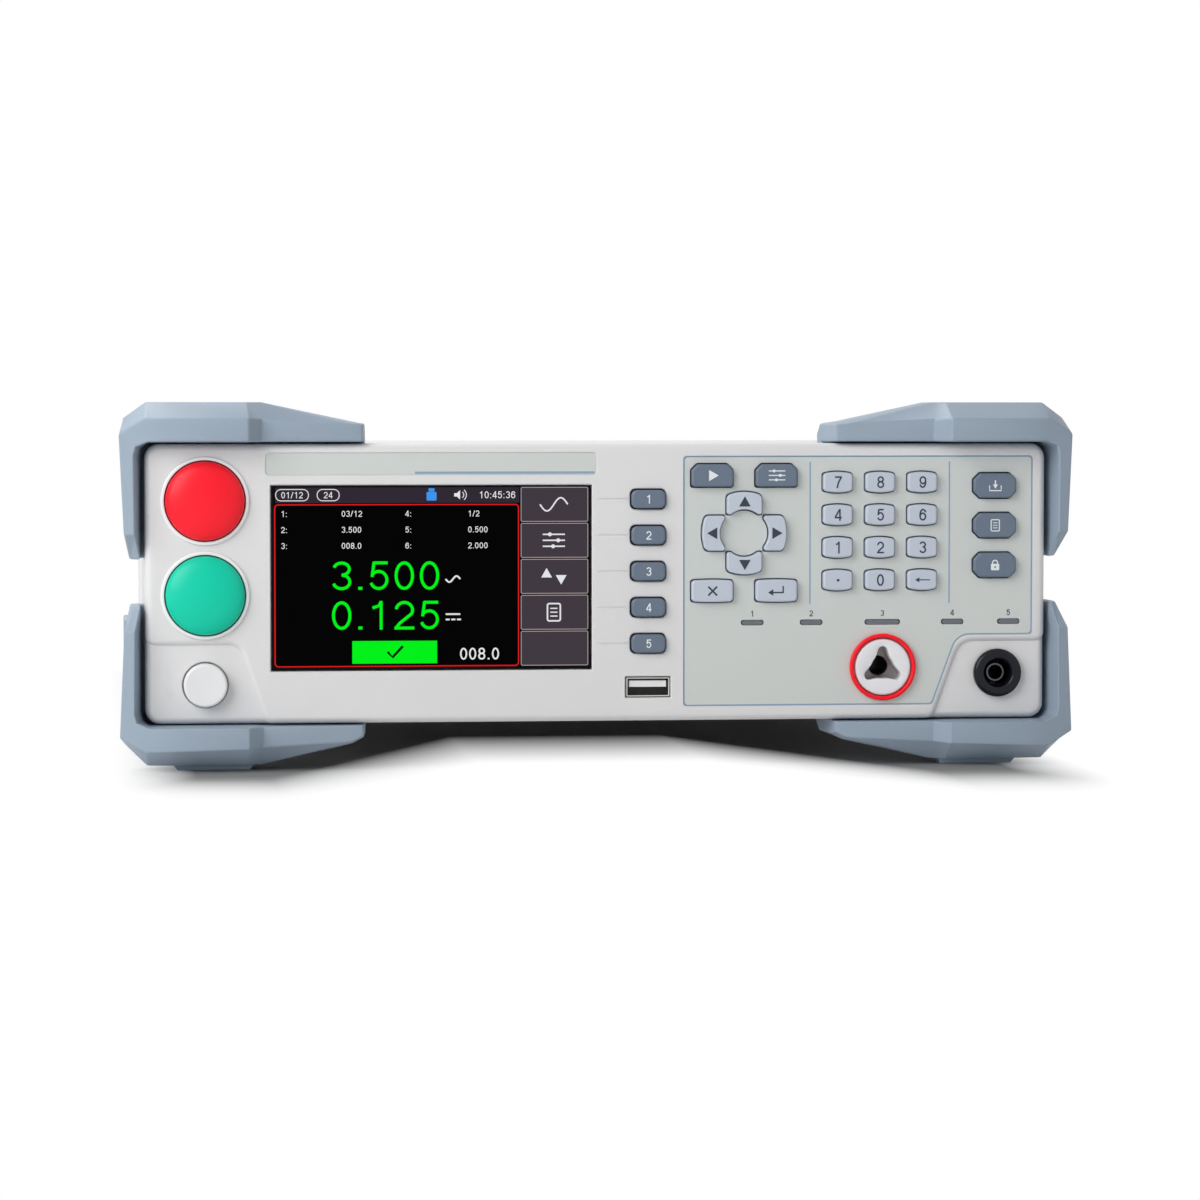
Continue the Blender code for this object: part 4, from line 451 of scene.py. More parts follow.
def rounded(corners, radii, steps=8):
    """A polygon with arcs for corners. An arc's centre lies on the corner's bisector, at the
    radius over the sine of half its angle, and its points turn evenly between its tangents."""
    here = np.asarray(corners, float)
    radius = np.broadcast_to(np.asarray(radii, float), len(here))[:, None]
    before = unit(np.roll(here, 1, 0) - here)
    after = unit(np.roll(here, -1, 0) - here)
    half = np.arccos(np.clip((before * after).sum(1), -1, 1))[:, None] / 2
    centre = here + unit(before + after) * radius / np.maximum(np.sin(half), SMALL)
    reach = radius / np.maximum(np.tan(half), SMALL)
    start = here + before * reach - centre
    end = here + after * reach - centre
    first = np.arctan2(start[:, 1], start[:, 0])[:, None]
    sweep = np.arctan2(end[:, 1], end[:, 0])[:, None] - first
    sweep = (sweep + np.pi) % (2 * np.pi) - np.pi
    angle = first + sweep * np.linspace(0, 1, steps + 1)
    away = np.linalg.norm(start, axis=1)[:, None]
    points = centre[:, None] + away[:, None] * np.stack([np.cos(angle), np.sin(angle)], -1)
    points = points.reshape(-1, 2)
    gaps = np.linalg.norm(points - np.roll(points, 1, 0), axis=1)
    return points[gaps > SMALL]


def rectangle(x, z, width, height, radius=0.0, steps=8):
    w, h = width / 2, height / 2
    return rounded([(x - w, z - h), (x + w, z - h), (x + w, z + h), (x - w, z + h)], radius, steps)


def circle(x, z, diameter, sides=96):
    """Points at even turns, at half the diameter from the middle."""
    angle = np.linspace(0, 2 * np.pi, sides, endpoint=False)
    return np.stack([x + np.cos(angle) * diameter / 2, z + np.sin(angle) * diameter / 2], -1)


def inset(outline, amount):
    """Each point moves inwards along the mean normal of its two edges, by the amount over the
    cosine of half the turn between them."""
    points = np.asarray(outline, float)
    before = unit(points - np.roll(points, 1, 0))
    after = unit(np.roll(points, -1, 0) - points)
    normal = unit(np.stack([-before[:, 1] - after[:, 1], before[:, 0] + after[:, 0]], -1))
    spread = (normal * np.stack([-before[:, 1], before[:, 0]], -1)).sum(1)
    return points + normal * (amount / np.maximum(spread, 0.4))[:, None]


def arc_between(left, right, rise, count=9):
    """Points of a circle's arc between two ends that bulges outwards by rise, or inwards when
    rise is negative. Each lies at the circle's height over its share of the chord."""
    left, right = np.asarray(left, float), np.asarray(right, float)
    chord = right - left
    half = np.linalg.norm(chord) / 2
    radius = (half ** 2 + rise ** 2) / (2 * abs(rise))
    share = np.linspace(-1, 1, count)
    bulge = np.sqrt(radius ** 2 - (share * half) ** 2) - (radius - abs(rise))
    out = unit(np.array([chord[1], -chord[0]])) * np.sign(rise)
    return (left + right) / 2 + share[:, None] * chord / 2 + bulge[:, None] * out


# Meshes

def quads(rows, columns):
    """Faces between neighbouring points of a grid whose last column is joined to its first."""
    row, column = np.meshgrid(np.arange(rows - 1), np.arange(columns), indexing="ij")
    after = (column + 1) % columns
    corners = (row * columns + column, row * columns + after,
               (row + 1) * columns + after, (row + 1) * columns + column)
    return np.stack(corners, -1).reshape(-1, 4).tolist()


def solid(grid, loop=False):
    """Points and faces of a body through rings of points, closed by a face at each end, or
    by joining its last ring to its first."""
    grid = np.asarray(grid, float)
    rows, columns = grid.shape[:2]
    points = grid.reshape(-1, 3)
    if loop:
        points = np.concatenate([points, points[:columns]])
        return points, quads(rows + 1, columns)
    ends = [list(range(columns)), list(range((rows - 1) * columns, rows * columns))]
    return points, quads(rows, columns) + ends


def joined(shapes):
    """Several shapes as one: their points in a row, and their faces counted on."""
    points, faces, count = [], [], 0
    for some, corners in shapes:
        points.append(np.asarray(some, float))
        faces.extend([[index + count for index in face] for face in corners])
        count += len(some)
    return np.concatenate(points), faces


def linked(name, data):
    """A new object in the scene."""
    made = bpy.data.objects.new(name, data)
    bpy.context.scene.collection.objects.link(made)
    return made


def plain_object(name, shape, merged=False):
    """An object from points and faces with its faces turned outwards."""
    points, faces = shape
    mesh = bpy.data.meshes.new(name)
    mesh.from_pydata(points.tolist(), [], faces)
    bm = bmesh.new()
    bm.from_mesh(mesh)
    if merged:
        bmesh.ops.remove_doubles(bm, verts=bm.verts, dist=SMALL)
    bmesh.ops.recalc_face_normals(bm, faces=bm.faces)
    bm.to_mesh(mesh)
    bm.free()
    return linked(name, mesh)


def shape_of(made):
    """Points and faces of an object with its modifiers applied. The object itself goes."""
    bpy.context.view_layer.update()
    mesh = bpy.data.meshes.new_from_object(made.evaluated_get(bpy.context.evaluated_depsgraph_get()))
    points = np.empty(len(mesh.vertices) * 3)
    mesh.vertices.foreach_get("co", points)
    faces = [list(face.vertices) for face in mesh.polygons]
    bpy.data.meshes.remove(mesh)
    bpy.data.objects.remove(made)
    return points.reshape(-1, 3), faces


def finished(mesh, finish, angle):
    """Gives a mesh its finish and smooth faces, with sharp edges above an angle in degrees."""
    mesh.materials.append(FINISHES[finish])
    mesh.shade_smooth()
    mesh.set_sharp_from_angle(angle=math.radians(angle))


def piece(name, shape, finish, body=CASE, angle=35.0, stands_for=()):
    """A new piece at the origin, from points and faces, on the body that carries it."""
    made = plain_object(name, shape, merged=True)
    finished(made.data, finish, angle)
    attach(made, body)
    if stands_for:
        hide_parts(*stands_for)


def level(outline, y):
    """An outline of (x, z) points at a depth y."""
    outline = np.asarray(outline, float)
    return np.stack([outline[:, 0], np.full(len(outline), y), outline[:, 1]], -1)


def turned(x, z, profile, loop=False, sides=96):
    """A body turned about the Y axis through (x, z): each (radius, depth) station becomes a
    ring of points at even turns."""
    return solid([level(circle(x, z, 2 * radius, sides), y) for radius, y in profile], loop)


def lofted(stations):
    """A body through outlines of equally many points, each at its own depth."""
    return solid([level(outline, y) for outline, y in stations])


def rolled_edge(radius, steps=5):
    """Stations of a quarter round: how far in from the side, and how far back from the front."""
    angle = np.linspace(0, math.pi / 2, steps + 1)
    return list(zip(radius * (1 - np.sin(angle)), radius * (1 - np.cos(angle))))


def box_shape(low, high):
    (x0, y0, z0), (x1, y1, z1) = low, high
    return lofted([(np.array([(x0, z0), (x1, z0), (x1, z1), (x0, z1)]), y) for y in (y0, y1)])


def flat_faces(curve, thickness):
    """Fills a flat curve, and stands it up: its right is +X, its top +Z and its front -Y."""
    curve.dimensions = "2D"
    curve.fill_mode = "BOTH"
    curve.extrude = thickness / 2
    points, faces = shape_of(linked(curve.name, curve))
    return np.stack([points[:, 0], -points[:, 2], points[:, 1]], -1), faces


def filled(outlines, y, thickness=INK):
    """A thin flat shape in front of the depth y. An outline inside another is a hole in it."""
    curve = bpy.data.curves.new("shape", "CURVE")
    for outline in outlines:
        spline = curve.splines.new("POLY")
        spline.points.add(len(outline) - 1)
        flat = np.column_stack([outline, np.zeros(len(outline)), np.ones(len(outline))])
        spline.points.foreach_set("co", flat.ravel())
        spline.use_cyclic_u = True
    points, faces = flat_faces(curve, thickness)
    bpy.data.curves.remove(curve)
    return points + [0.0, y - thickness * 0.75, 0.0], faces


def swing(x, z, wide, high, start, end, count=17):
    """Points of an ellipse's arc about (x, z) between two angles in degrees."""
    angle = np.radians(np.linspace(start, end, count))
    return np.stack([x + np.cos(angle) * wide, z + np.sin(angle) * high], -1)


def figure_lines(mark, line):
    """The middle lines of a figure one unit high, drawn with a line of the given width, and
    how wide the figure is. Rounds are parts of ellipses, and a closed one starts with True."""
    wide, low, top = 0.60, line / 2, 1 - line / 2
    left, right, middle = line / 2, wide - line / 2, wide / 2
    round_x, upper, lower = (right - left) / 2, (1 - line) * 0.235, (1 - line) * 0.265
    if mark == "0":
        return [(True, swing(middle, 0.5, round_x, 0.5 - low, 0, 345, 24))], wide
    if mark == "1":
        return [(False, [(0.36, 0.0), (0.36, 1.0)]),
                (False, [(0.36, 0.985), (0.29, 0.83), (0.10, 0.76)])], wide
    if mark == "2":
        bowl = swing(middle, top - 0.27, round_x, 0.27, 172, -28)
        bowl = np.concatenate([bowl, [(0.16, 0.22), (left, 0.06)]])
        return [(False, bowl), (False, [(0.0, low), (wide, low)])], wide
    if mark == "3":
        return [(False, swing(middle, top - upper, round_x * 0.94, upper, 165, -90)),
                (False, swing(middle, low + lower, round_x, lower, 90, -165))], wide
    if mark == "4":
        return [(False, [(0.44, 0.0), (0.44, 1.0)]), (False, [(0.42, 0.96), (0.03, 0.29)]),
                (False, [(0.0, 0.27), (wide, 0.27)])], wide
    if mark == "5":
        return [(False, [(0.13, top), (wide - 0.04, top)]), (False, [(0.15, 0.98), (0.09, 0.46)]),
                (False, swing(middle - 0.01, low + 0.30, round_x, 0.30, 142, -160))], wide
    if mark in "69":
        ring = swing(middle, low + 0.28, round_x, 0.28, 0, 345, 24)
        stem = np.concatenate([swing(middle + 0.02, 0.50, round_x + 0.02, 0.5 - low, 28, 180),
                               [(left, 0.40), (left + 0.01, 0.30)]])
        flip = (-1, -1) if mark == "9" else (1, 1)
        shift = (wide, 1.0) if mark == "9" else (0.0, 0.0)
        return [(True, ring * flip + shift), (False, stem * flip + shift)], wide
    if mark == "7":
        slope = [(wide - 0.06, top - 0.02), (0.30, 0.45), (0.20, 0.0)]
        return [(False, [(0.0, top), (wide, top)]), (False, slope)], wide
    if mark == "8":
        return [(True, swing(middle, top - upper, round_x * 0.90, upper, 0, 345, 24)),
                (True, swing(middle, low + lower, round_x, lower, 0, 345, 24))], wide
    if mark == "/":
        return [(False, [(0.02, 0.0), (0.34, 1.0)])], 0.36
    dots = {".": (line * 0.6,), ":": (line * 0.6, 0.62)}[mark]
    return [(False, [(0.04, z), (0.04 + line * 1.2, z)]) for z in dots], 0.08 + line * 1.2


def lettered(text, x, z, height, y, line=0.12, align=0.5, stretch=1.0, gap=0.16):
    """Figures of a given height round (x, z), or beside it when align is 0 or 1. Each figure
    starts where the last one ends, after a gap that is a share of the height."""
    drawn, start = [], 0.0
    for mark in text:
        lines, wide = figure_lines(mark, line)
        drawn += [(closed, np.asarray(points, float) + (start, -0.5)) for closed, points in lines]
        start += wide + gap
    across = (start - gap) * align
    shapes = []
    for index, (closed, points) in enumerate(drawn):
        placed = (points - (across, 0)) * (height * stretch, height) + (x, z)
        shapes.append(stroke(placed, height * line, y - (index % 3) * INK * 0.2, closed))
    return joined(shapes)


def stroke(points, width, y, closed=False):
    """A line of a given width: its middle line moved half the width to each side."""
    line = np.asarray(points, float)
    if closed:
        return filled([inset(line, -width / 2), inset(line, width / 2)], y)
    along = unit(np.gradient(line, axis=0))
    side = np.stack([-along[:, 1], along[:, 0]], -1) * width / 2
    return filled([np.concatenate([line + side, (line - side)[::-1]])], y)


def bar(x0, x1, z0, z1, y, thickness=INK):
    return filled([np.array([(x0, z0), (x1, z0), (x1, z1), (x0, z1)])], y, thickness)


def softened(node, finish, width, angle=22.0):
    """A copy of a solid with its points merged and its edges rolled, in place of the solid."""
    source = frame["nodes"][node]
    bm = bmesh.new()
    bm.from_mesh(source.data)
    bmesh.ops.remove_doubles(bm, verts=bm.verts, dist=1e-6)
    bmesh.ops.dissolve_limit(bm, angle_limit=math.radians(0.5), verts=bm.verts, edges=bm.edges)
    mesh = bpy.data.meshes.new(node + "_skin")
    bm.to_mesh(mesh)
    bm.free()
    finished(mesh, finish, angle)
    made = linked(node + "_skin", mesh)
    edge = made.modifiers.new("rolled edges", "BEVEL")
    edge.width = width
    edge.segments = 4
    edge.limit_method = "ANGLE"
    edge.angle_limit = math.radians(angle)
    edge.harden_normals = True
    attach(made, body_of(source)[0])
    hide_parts(node)


def coat(finish, *nodes):
    """Gives solids that keep their own shape a finish."""
    for name in nodes:
        for place in frame["nodes"][name].material_slots:
            place.material = FINISHES[finish]


# Outlines of the openings for the keys, each about its own middle

KEY_GAP = 0.0004
ARROW_HALF = 0.0057
ARROW_HIGH = 0.0038
ARROWS = ("up", "left", "down", "right")


def cut_corners(width, height, upper, lower):
    w, h = width / 2, height / 2
    return np.array([(-w + lower, -h), (w - lower, -h), (w, -h + lower), (w, h - upper),
                     (w - upper, h), (-w + upper, h), (-w, h - upper), (-w, -h + lower)])


def bowed(width, height, bow):
    """Straight sides, with the lower and the upper edge each bowed out on an arc."""
    w, side = width / 2, height / 2 - bow
    return np.concatenate([arc_between((-w, -side), (w, -side), bow),
                           arc_between((w, side), (-w, side), bow)])


def arrow_shape(turn):
    """A key of the ring of four: crowned outside, hollow towards the middle, then turned."""
    w, h = ARROW_HALF, ARROW_HIGH
    corners = np.concatenate([[(-w, -h)], arc_between((-0.0040, -h), (0.0040, -h), -0.0015),
                              [(w, -h)], arc_between((w, h - 0.0012), (-w, h - 0.0012), 0.0012)])
    c, s = math.cos(turn), math.sin(turn)
    return corners @ np.array([[c, s], [-s, c]])


def corner_radii(corners, square, sharp, blunt):
    """A radius for each corner, picked by the sine of its turn: square above 0.97, sharp above
    0.8, blunt above 0.3, and none below, where the points lie along an arc."""
    before = unit(corners - np.roll(corners, 1, 0))
    after = unit(np.roll(corners, -1, 0) - corners)
    turn = before[:, 0] * after[:, 1] - before[:, 1] * after[:, 0]
    return np.select([turn > 0.97, turn > 0.8, turn > 0.3], [square, sharp, blunt], 0.0)


def key_shapes():
    """Each key's node with its opening's corners about its middle, the radii of its square,
    sharp and blunt corners, its finish and the sign or figure on it."""
    soft = cut_corners(0.0110, 0.0063, 0.0, 0.0)[[0, 2, 3, 6]]
    mode = cut_corners(0.0134, 0.0076, 0.0020, 0.0)[[0, 2, 3, 4, 5, 6]]
    answer = bowed(0.0134, 0.0076, 0.0003)
    number = bowed(0.0097, 0.0071, 0.0007)
    side = cut_corners(0.0138, 0.0083, 0.0022, 0.0022)
    moulded_radii, arrow_radii = (0.0011, 0.0011, 0.0011), (0.0006, 0.0017, 0.0012)
    for index in range(1, 6):
        yield f"key_f{index}", soft, (0.0017, 0.0, 0.0), "dark_key", str(index)
    yield "key_test", mode, (0.0009, 0.0, 0.0012), "dark_key", "run"
    yield "key_setup", mode, (0.0009, 0.0, 0.0012), "dark_key", "sliders"
    yield "key_esc", answer, moulded_radii, "light_key", "cross"
    yield "key_enter", answer, moulded_radii, "light_key", "return"
    for index, name in enumerate(ARROWS):
        yield f"key_{name}", arrow_shape(index * math.pi / 2), arrow_radii, "light_key", name
    for name in "0123456789":
        yield f"key_{name}", number, moulded_radii, "light_key", name
    yield "key_dot", number, moulded_radii, "light_key", "dot"
    yield "key_backspace", number, moulded_radii, "light_key", "back"
    yield "key_save", side, moulded_radii, "dark_key", "store"
    yield "key_print", side, moulded_radii, "dark_key", "page"
    yield "key_lock", side, moulded_radii, "dark_key", "lock"


def key_place(node):
    """The middle of a key's opening. The collar of an arrow key reaches further outwards than
    inwards, so its middle is moved back by half the difference."""
    middle = node_middle(node)
    shift = {"key_up": (0, -1), "key_down": (0, 1), "key_left": (1, 0), "key_right": (-1, 0)}
    x, z = shift.get(node, (0, 0))
    return np.array([middle.x + x * 0.0002, middle.z + z * 0.0002])


def key_opening(corners, radii):
    return rounded(corners, corner_radii(corners, *radii), 6)


def light_slots():
    """Middle and width of the five slots for the indicator lights."""
    left, right = OVERLAY_LOW.x, OVERLAY_HIGH.x
    wide = node_middle("hv_socket").x
    return [(left + 0.0211, 0.0070), (left + 0.0392, 0.0070), (wide, 0.0110),
            (right - 0.0247, 0.0070), (right - 0.0073, 0.0070)]


LIGHT_Z = OVERLAY_HIGH.z - 0.0505
LIGHT_HEIGHT = 0.0017


def light_outlines():
    return [rectangle(x, LIGHT_Z, width, LIGHT_HEIGHT, LIGHT_HEIGHT * 0.45) for x, width in light_slots()]


def triangle(x, z, size, turn):
    """Three corners at even turns round the middle."""
    angle = np.radians([90, 210, 330]) + turn
    return np.stack([x + np.cos(angle) * size, z + np.sin(angle) * size], -1)


def wave_line(x, z, half, rise):
    """One period of a sine round (x, z)."""
    turn = np.linspace(-math.pi, math.pi, 25)
    return np.stack([x + turn / math.pi * half, z + np.sin(turn) * rise], -1)


def sign(name, x, z, y, height):
    """The shapes of one printed sign: a figure, an arrow head or a plain pictogram."""
    h = height / 2
    if name.isdigit():
        return [lettered(name, x, z, height, y, 0.135)]
    if name in ARROWS:
        turn = ARROWS.index(name) * math.pi / 2
        return [filled([triangle(x, z, h * 1.15, turn)], y)]
    if name == "dot":
        return [filled([circle(x, z, height * 0.30, 24)], y)]
    if name == "back":
        head = np.array([(-1.3, 0.0), (-0.55, -0.42), (-0.55, 0.42)]) * h + (x, z)
        return [filled([head], y), bar(x - h * 0.6, x + h * 1.3, z - h * 0.09, z + h * 0.09, y)]
    if name == "run":
        return [filled([triangle(x - h * 0.1, z, h * 1.15, -math.pi / 2)], y)]
    if name == "cross":
        arm = np.array([(-h, -h), (h, h)]) * 0.75
        return [stroke(arm + (x, z), h * 0.30, y), stroke(arm * (1, -1) + (x, z), h * 0.30, y - INK)]
    if name == "return":
        head = np.array([(-1.5, -0.3), (-0.6, -0.85), (-0.6, 0.25)]) * h + (x, z)
        return [filled([head], y), bar(x - h * 0.7, x + h * 1.2, z - h * 0.42, z - h * 0.18, y),
                bar(x + h * 0.96, x + h * 1.2, z - h * 0.18, z + h * 0.8, y)]
    if name == "sliders":
        shapes = []
        for row, knob in ((0.75, -0.5), (0.0, 0.55), (-0.75, -0.1)):
            shapes.append(bar(x - h * 1.4, x + h * 1.4, z + h * (row - 0.09), z + h * (row + 0.09), y))
            shapes.append(filled([circle(x + h * knob, z + h * row, h * 0.5, 20)], y - INK))
        return shapes
    if name == "store":
        shaft = bar(x - h * 0.13, x + h * 0.13, z - h * 0.1, z + h * 1.0, y)
        head = filled([triangle(x, z - h * 0.05, h * 0.55, math.pi)], y - INK)
        tray = np.array([(-1.1, 0.0), (-1.1, -0.95), (1.1, -0.95), (1.1, 0.0)]) * h + (x, z)
        return [shaft, head, stroke(tray, h * 0.22, y)]
    if name == "page":
        sheet = rectangle(x, z, h * 1.5, h * 2.0, h * 0.2, 3)
        rows = [bar(x - h * 0.42, x + h * 0.42, z + h * (row - 0.07), z + h * (row + 0.07), y)
                for row in (0.45, 0.0, -0.45)]
        return [stroke(sheet, h * 0.18, y, closed=True)] + rows
    if name == "lock":
        body = rectangle(x, z - h * 0.35, h * 1.5, h * 1.15, h * 0.15, 3)
        hole = circle(x, z - h * 0.35, h * 0.34, 16)
        turn = np.linspace(0, math.pi, 13)
        arch = np.stack([x + np.cos(turn) * h * 0.45, z + h * 0.40 + np.sin(turn) * h * 0.45], -1)
        arch = np.concatenate([[(x + h * 0.45, z + h * 0.2)], arch, [(x - h * 0.45, z + h * 0.2)]])
        return [filled([body, hole], y), stroke(arch, h * 0.22, y)]
    raise ValueError(f"no sign is called {name}")


def key_cap(node, corners, radii, finish):
    """A key: its flat top, its rolled edge, its straight side, its collar and its stem, each a
    ring of the cap's outline moved in or out."""
    low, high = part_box(node)
    place = key_place(node)
    edge = min(bpy.context.scene.tester_sizes.key_edge, min(radius for radius in radii if radius) - 0.0002)
    cap = rounded(inset(corners, KEY_GAP), corner_radii(corners, *radii), 6) + place
    behind = FLANGE + 0.0009
    stem = (cap - place) * 0.5 + place
    rows = [(inset(cap, edge + 0.00015), low.y)]
    rows += [(inset(cap, inwards), low.y + back) for inwards, back in rolled_edge(edge)]
    collar = inset(cap, -0.0005)
    rows += [(cap, FLANGE), (collar, FLANGE + 0.0001), (collar, behind), (stem, behind + 0.0002),
             (stem, high.y)]
    body = body_of(frame["nodes"][node])[0]
    piece(node + "_cap", lofted(rows), finish, body, 50.0, (node,))


class TESTER_OT_keys(bpy.types.Operator):
    """Make the caps of all push keys and print their signs"""
    bl_idname = "tester.keys"
    bl_label = "Keys"

    def execute(self, context):
        height = context.scene.tester_sizes.digit_height
        for node, corners, radii, finish, mark in key_shapes():
            key_cap(node, corners, radii, finish)
            x, z = key_place(node)
            small = 0.72 if node.startswith("key_f") else 1.0
            grow = {"dot": 0.8, "lock": 0.95, "store": 0.9, "page": 0.95, "run": 0.95}.get(mark, 1.0)
            shapes = sign(mark, x, z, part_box(node)[0].y, height * small * grow)
            tint = "white_ink" if finish == "dark_key" else "dark_ink"
            piece(node + "_print", joined(shapes), tint, body_of(frame["nodes"][node])[0])
        return {"FINISHED"}


# The moulded panel and the film on it

PANEL_CORNER = 0.0045
PANEL_EDGE = 0.0020
PANEL_BACK = FACE + 0.0030
# How deep a cutter for a through hole goes, and where the collars behind the panel begin
THROUGH = PANEL_BACK + 0.002
FLANGE = PANEL_BACK + FIT
BOTTOM, TOP = PANEL_LOW.z, PANEL_HIGH.z
LEFT, RIGHT = PANEL_LOW.x, PANEL_HIGH.x
MIDDLE_Z = (BOTTOM + TOP) / 2
WINDOW_LOW, WINDOW_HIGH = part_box("display_window")
WINDOW_LEDGE = 0.0018
NOTCH_LIP = 0.0024
RETURN_WIDE, RETURN_HIGH, RETURN_SLANT = 0.0258, 0.0232, 0.0085
BUTTON_HOLE = 0.0244
OUTLET_HOLE = 0.0178
HEADER_Z = WINDOW_HIGH.z + 0.0066


def plateau():
    """The raised face: the whole panel but for the power corner and the return jack's corner."""
    power_z = BOTTOM + 0.0233
    return_z = BOTTOM + RETURN_HIGH
    corners = [(LEFT, power_z), (LEFT + 0.0275, power_z), (LEFT + 0.0355, BOTTOM),
               (RIGHT - RETURN_WIDE - RETURN_SLANT, BOTTOM), (RIGHT - RETURN_WIDE, return_z),
               (RIGHT, return_z), (RIGHT, TOP), (LEFT, TOP)]
    radii = [0.0030, 0.0040, 0.0030, 0.0030, 0.0050, 0.0030, PANEL_CORNER, PANEL_CORNER]
    return rounded(corners, radii, 8)


def overlay_edge(inwards=0.0):
    """The film's outline: a rectangle whose lower right corner is stepped for the return jack."""
    low, high = OVERLAY_LOW, OVERLAY_HIGH
    notch_z = BOTTOM + RETURN_HIGH + NOTCH_LIP
    notch_x = RIGHT - RETURN_WIDE - NOTCH_LIP * 0.6
    slant = RETURN_SLANT * (notch_z - low.z) / RETURN_HIGH
    corners = np.array([(low.x, low.z), (notch_x - slant, low.z), (notch_x, notch_z),
                        (high.x, notch_z), (high.x, high.z), (low.x, high.z)])
    corners = inset(corners, inwards)
    return rounded(corners, [0.0010, 0.0010, 0.0055 + inwards, 0.0010, 0.0010, 0.0010], 8)


def block(outline, front, back, radius, deeper=1.0):
    """A block whose front edge is rolled, as far back as the radius times deeper."""
    rows = [(inset(outline, inwards), front + behind * deeper) for inwards, behind in rolled_edge(radius)]
    return lofted(rows + [(outline, back)])


def opening(outline, front, back, flare=0.00025):
    """A cutter whose hole opens out a little at the front."""
    wide = inset(outline, -flare)
    return lofted([(wide, front - 0.003), (wide, front), (outline, front + flare), (outline, back)])


def straight(outline, back):
    """A cutter with straight walls, from well before the face."""
    return lofted([(outline, FACE - 0.004), (outline, back)])


def carved(shape, steps):
    """Points and faces of a shape after other shapes are cut from it or added to it."""
    base = plain_object("carving", shape)
    tools = []
    for operation, other in steps:
        tool = plain_object("carving_tool", other)
        tools.append(tool)
        step = base.modifiers.new(operation, "BOOLEAN")
        step.operation = operation
        step.solver = "MANIFOLD"
        step.object = tool
    points, faces = shape_of(base)
    for tool in tools:
        bpy.data.objects.remove(tool)
    if not faces:
        raise RuntimeError("a carved shape came out empty")
    return points, faces


class TESTER_OT_panel(bpy.types.Operator):
    """Make the moulded front panel, with its steps, collars, recesses and openings"""
    bl_idname = "tester.panel"
    bl_label = "Front panel"

    def through_holes(self):
        """Cutters for the window, the round buttons, the sockets and the lights."""
        middle, size = (WINDOW_LOW + WINDOW_HIGH) / 2, WINDOW_HIGH - WINDOW_LOW
        inner = rectangle(middle.x, middle.z, size.x - 2 * WINDOW_LEDGE, size.z - 2 * WINDOW_LEDGE)
        holes = [straight(inner, THROUGH)]
        for name, across in (("stop_button", BUTTON_HOLE), ("start_button", BUTTON_HOLE),
                             ("hv_socket", OUTLET_HOLE)):
            place = node_middle(name)
            holes.append(straight(circle(place.x, place.z, across), THROUGH))
        for name, across in (("power_button", 0.0138), ("rtn_socket", 0.0126)):
            place = node_middle(name)
            holes.append(opening(circle(place.x, place.z, across), FACE + ZONE_STEP, THROUGH))
        port = node_middle("usb_port")
        holes.append(opening(rectangle(port.x, port.z, 0.0138, 0.0064, 0.0002), FACE, THROUGH, 0.0003))
        return holes + [opening(outline, FACE, THROUGH) for outline in light_outlines()]

    def execute(self, context):
        whole = rectangle(0.0, MIDDLE_Z, RIGHT - LEFT, TOP - BOTTOM, PANEL_CORNER)
        back = PANEL_HIGH.y
        base = block(whole, FACE + ZONE_STEP, back, PANEL_EDGE, 1.6)
        face = block(inset(plateau(), 0.00005), FACE, PANEL_BACK, PANEL_EDGE, 1.35)
        hollow = lofted([(inset(whole, 0.0020), PANEL_BACK), (inset(whole, 0.0020), back + 0.002)])
        profile = [(0.01280, FACE - 0.0008), (0.01305, FACE - 0.00072), (0.01320, FACE - 0.0005),
                   (0.01330, FACE - 0.0002), (0.01330, FACE + ZONE_STEP)]
        collars = [turned(place.x, place.z, profile)
                   for place in (node_middle("stop_button"), node_middle("start_button"))]
        recess = straight(inset(overlay_edge(), -0.00005), FACE + 0.0011)
        middle = (WINDOW_LOW + WINDOW_HIGH) / 2
        wide, high = WINDOW_HIGH.x - WINDOW_LOW.x, WINDOW_HIGH.z - WINDOW_LOW.z
        header = opening(rectangle(middle.x, HEADER_Z, 0.0995, 0.0068, 0.0012),
                         FACE, FACE + 0.0004, 0.00015)
        window = opening(rectangle(middle.x, middle.z, wide + 2 * FIT, high + 2 * FIT, 0.0002),
                         FACE, FACE + 0.0024, 0.0003)
        holes, guides = self.through_holes(), []
        for node, corners, radii, *_ in key_shapes():
            outline = key_opening(corners, radii) + key_place(node)
            holes.append(opening(outline, FACE, THROUGH))
            if node.startswith("key_f"):
                z = key_place(node)[1] + 0.0001
                line = rectangle(0.00415, z, 0.0097, 0.00032)
                guides.append(lofted([(line, FACE - 0.001), (line, FACE + 0.00022)]))
        steps = [("UNION", face), ("DIFFERENCE", hollow)]
        steps += [("UNION", collar) for collar in collars]
        steps += [("DIFFERENCE", joined([recess, header])), ("DIFFERENCE", window),
                  ("DIFFERENCE", joined(holes)), ("DIFFERENCE", joined(guides))]
        piece("front_panel_moulding", carved(base, steps), "panel", CASE, 35.0, ("front_panel",))
        return {"FINISHED"}


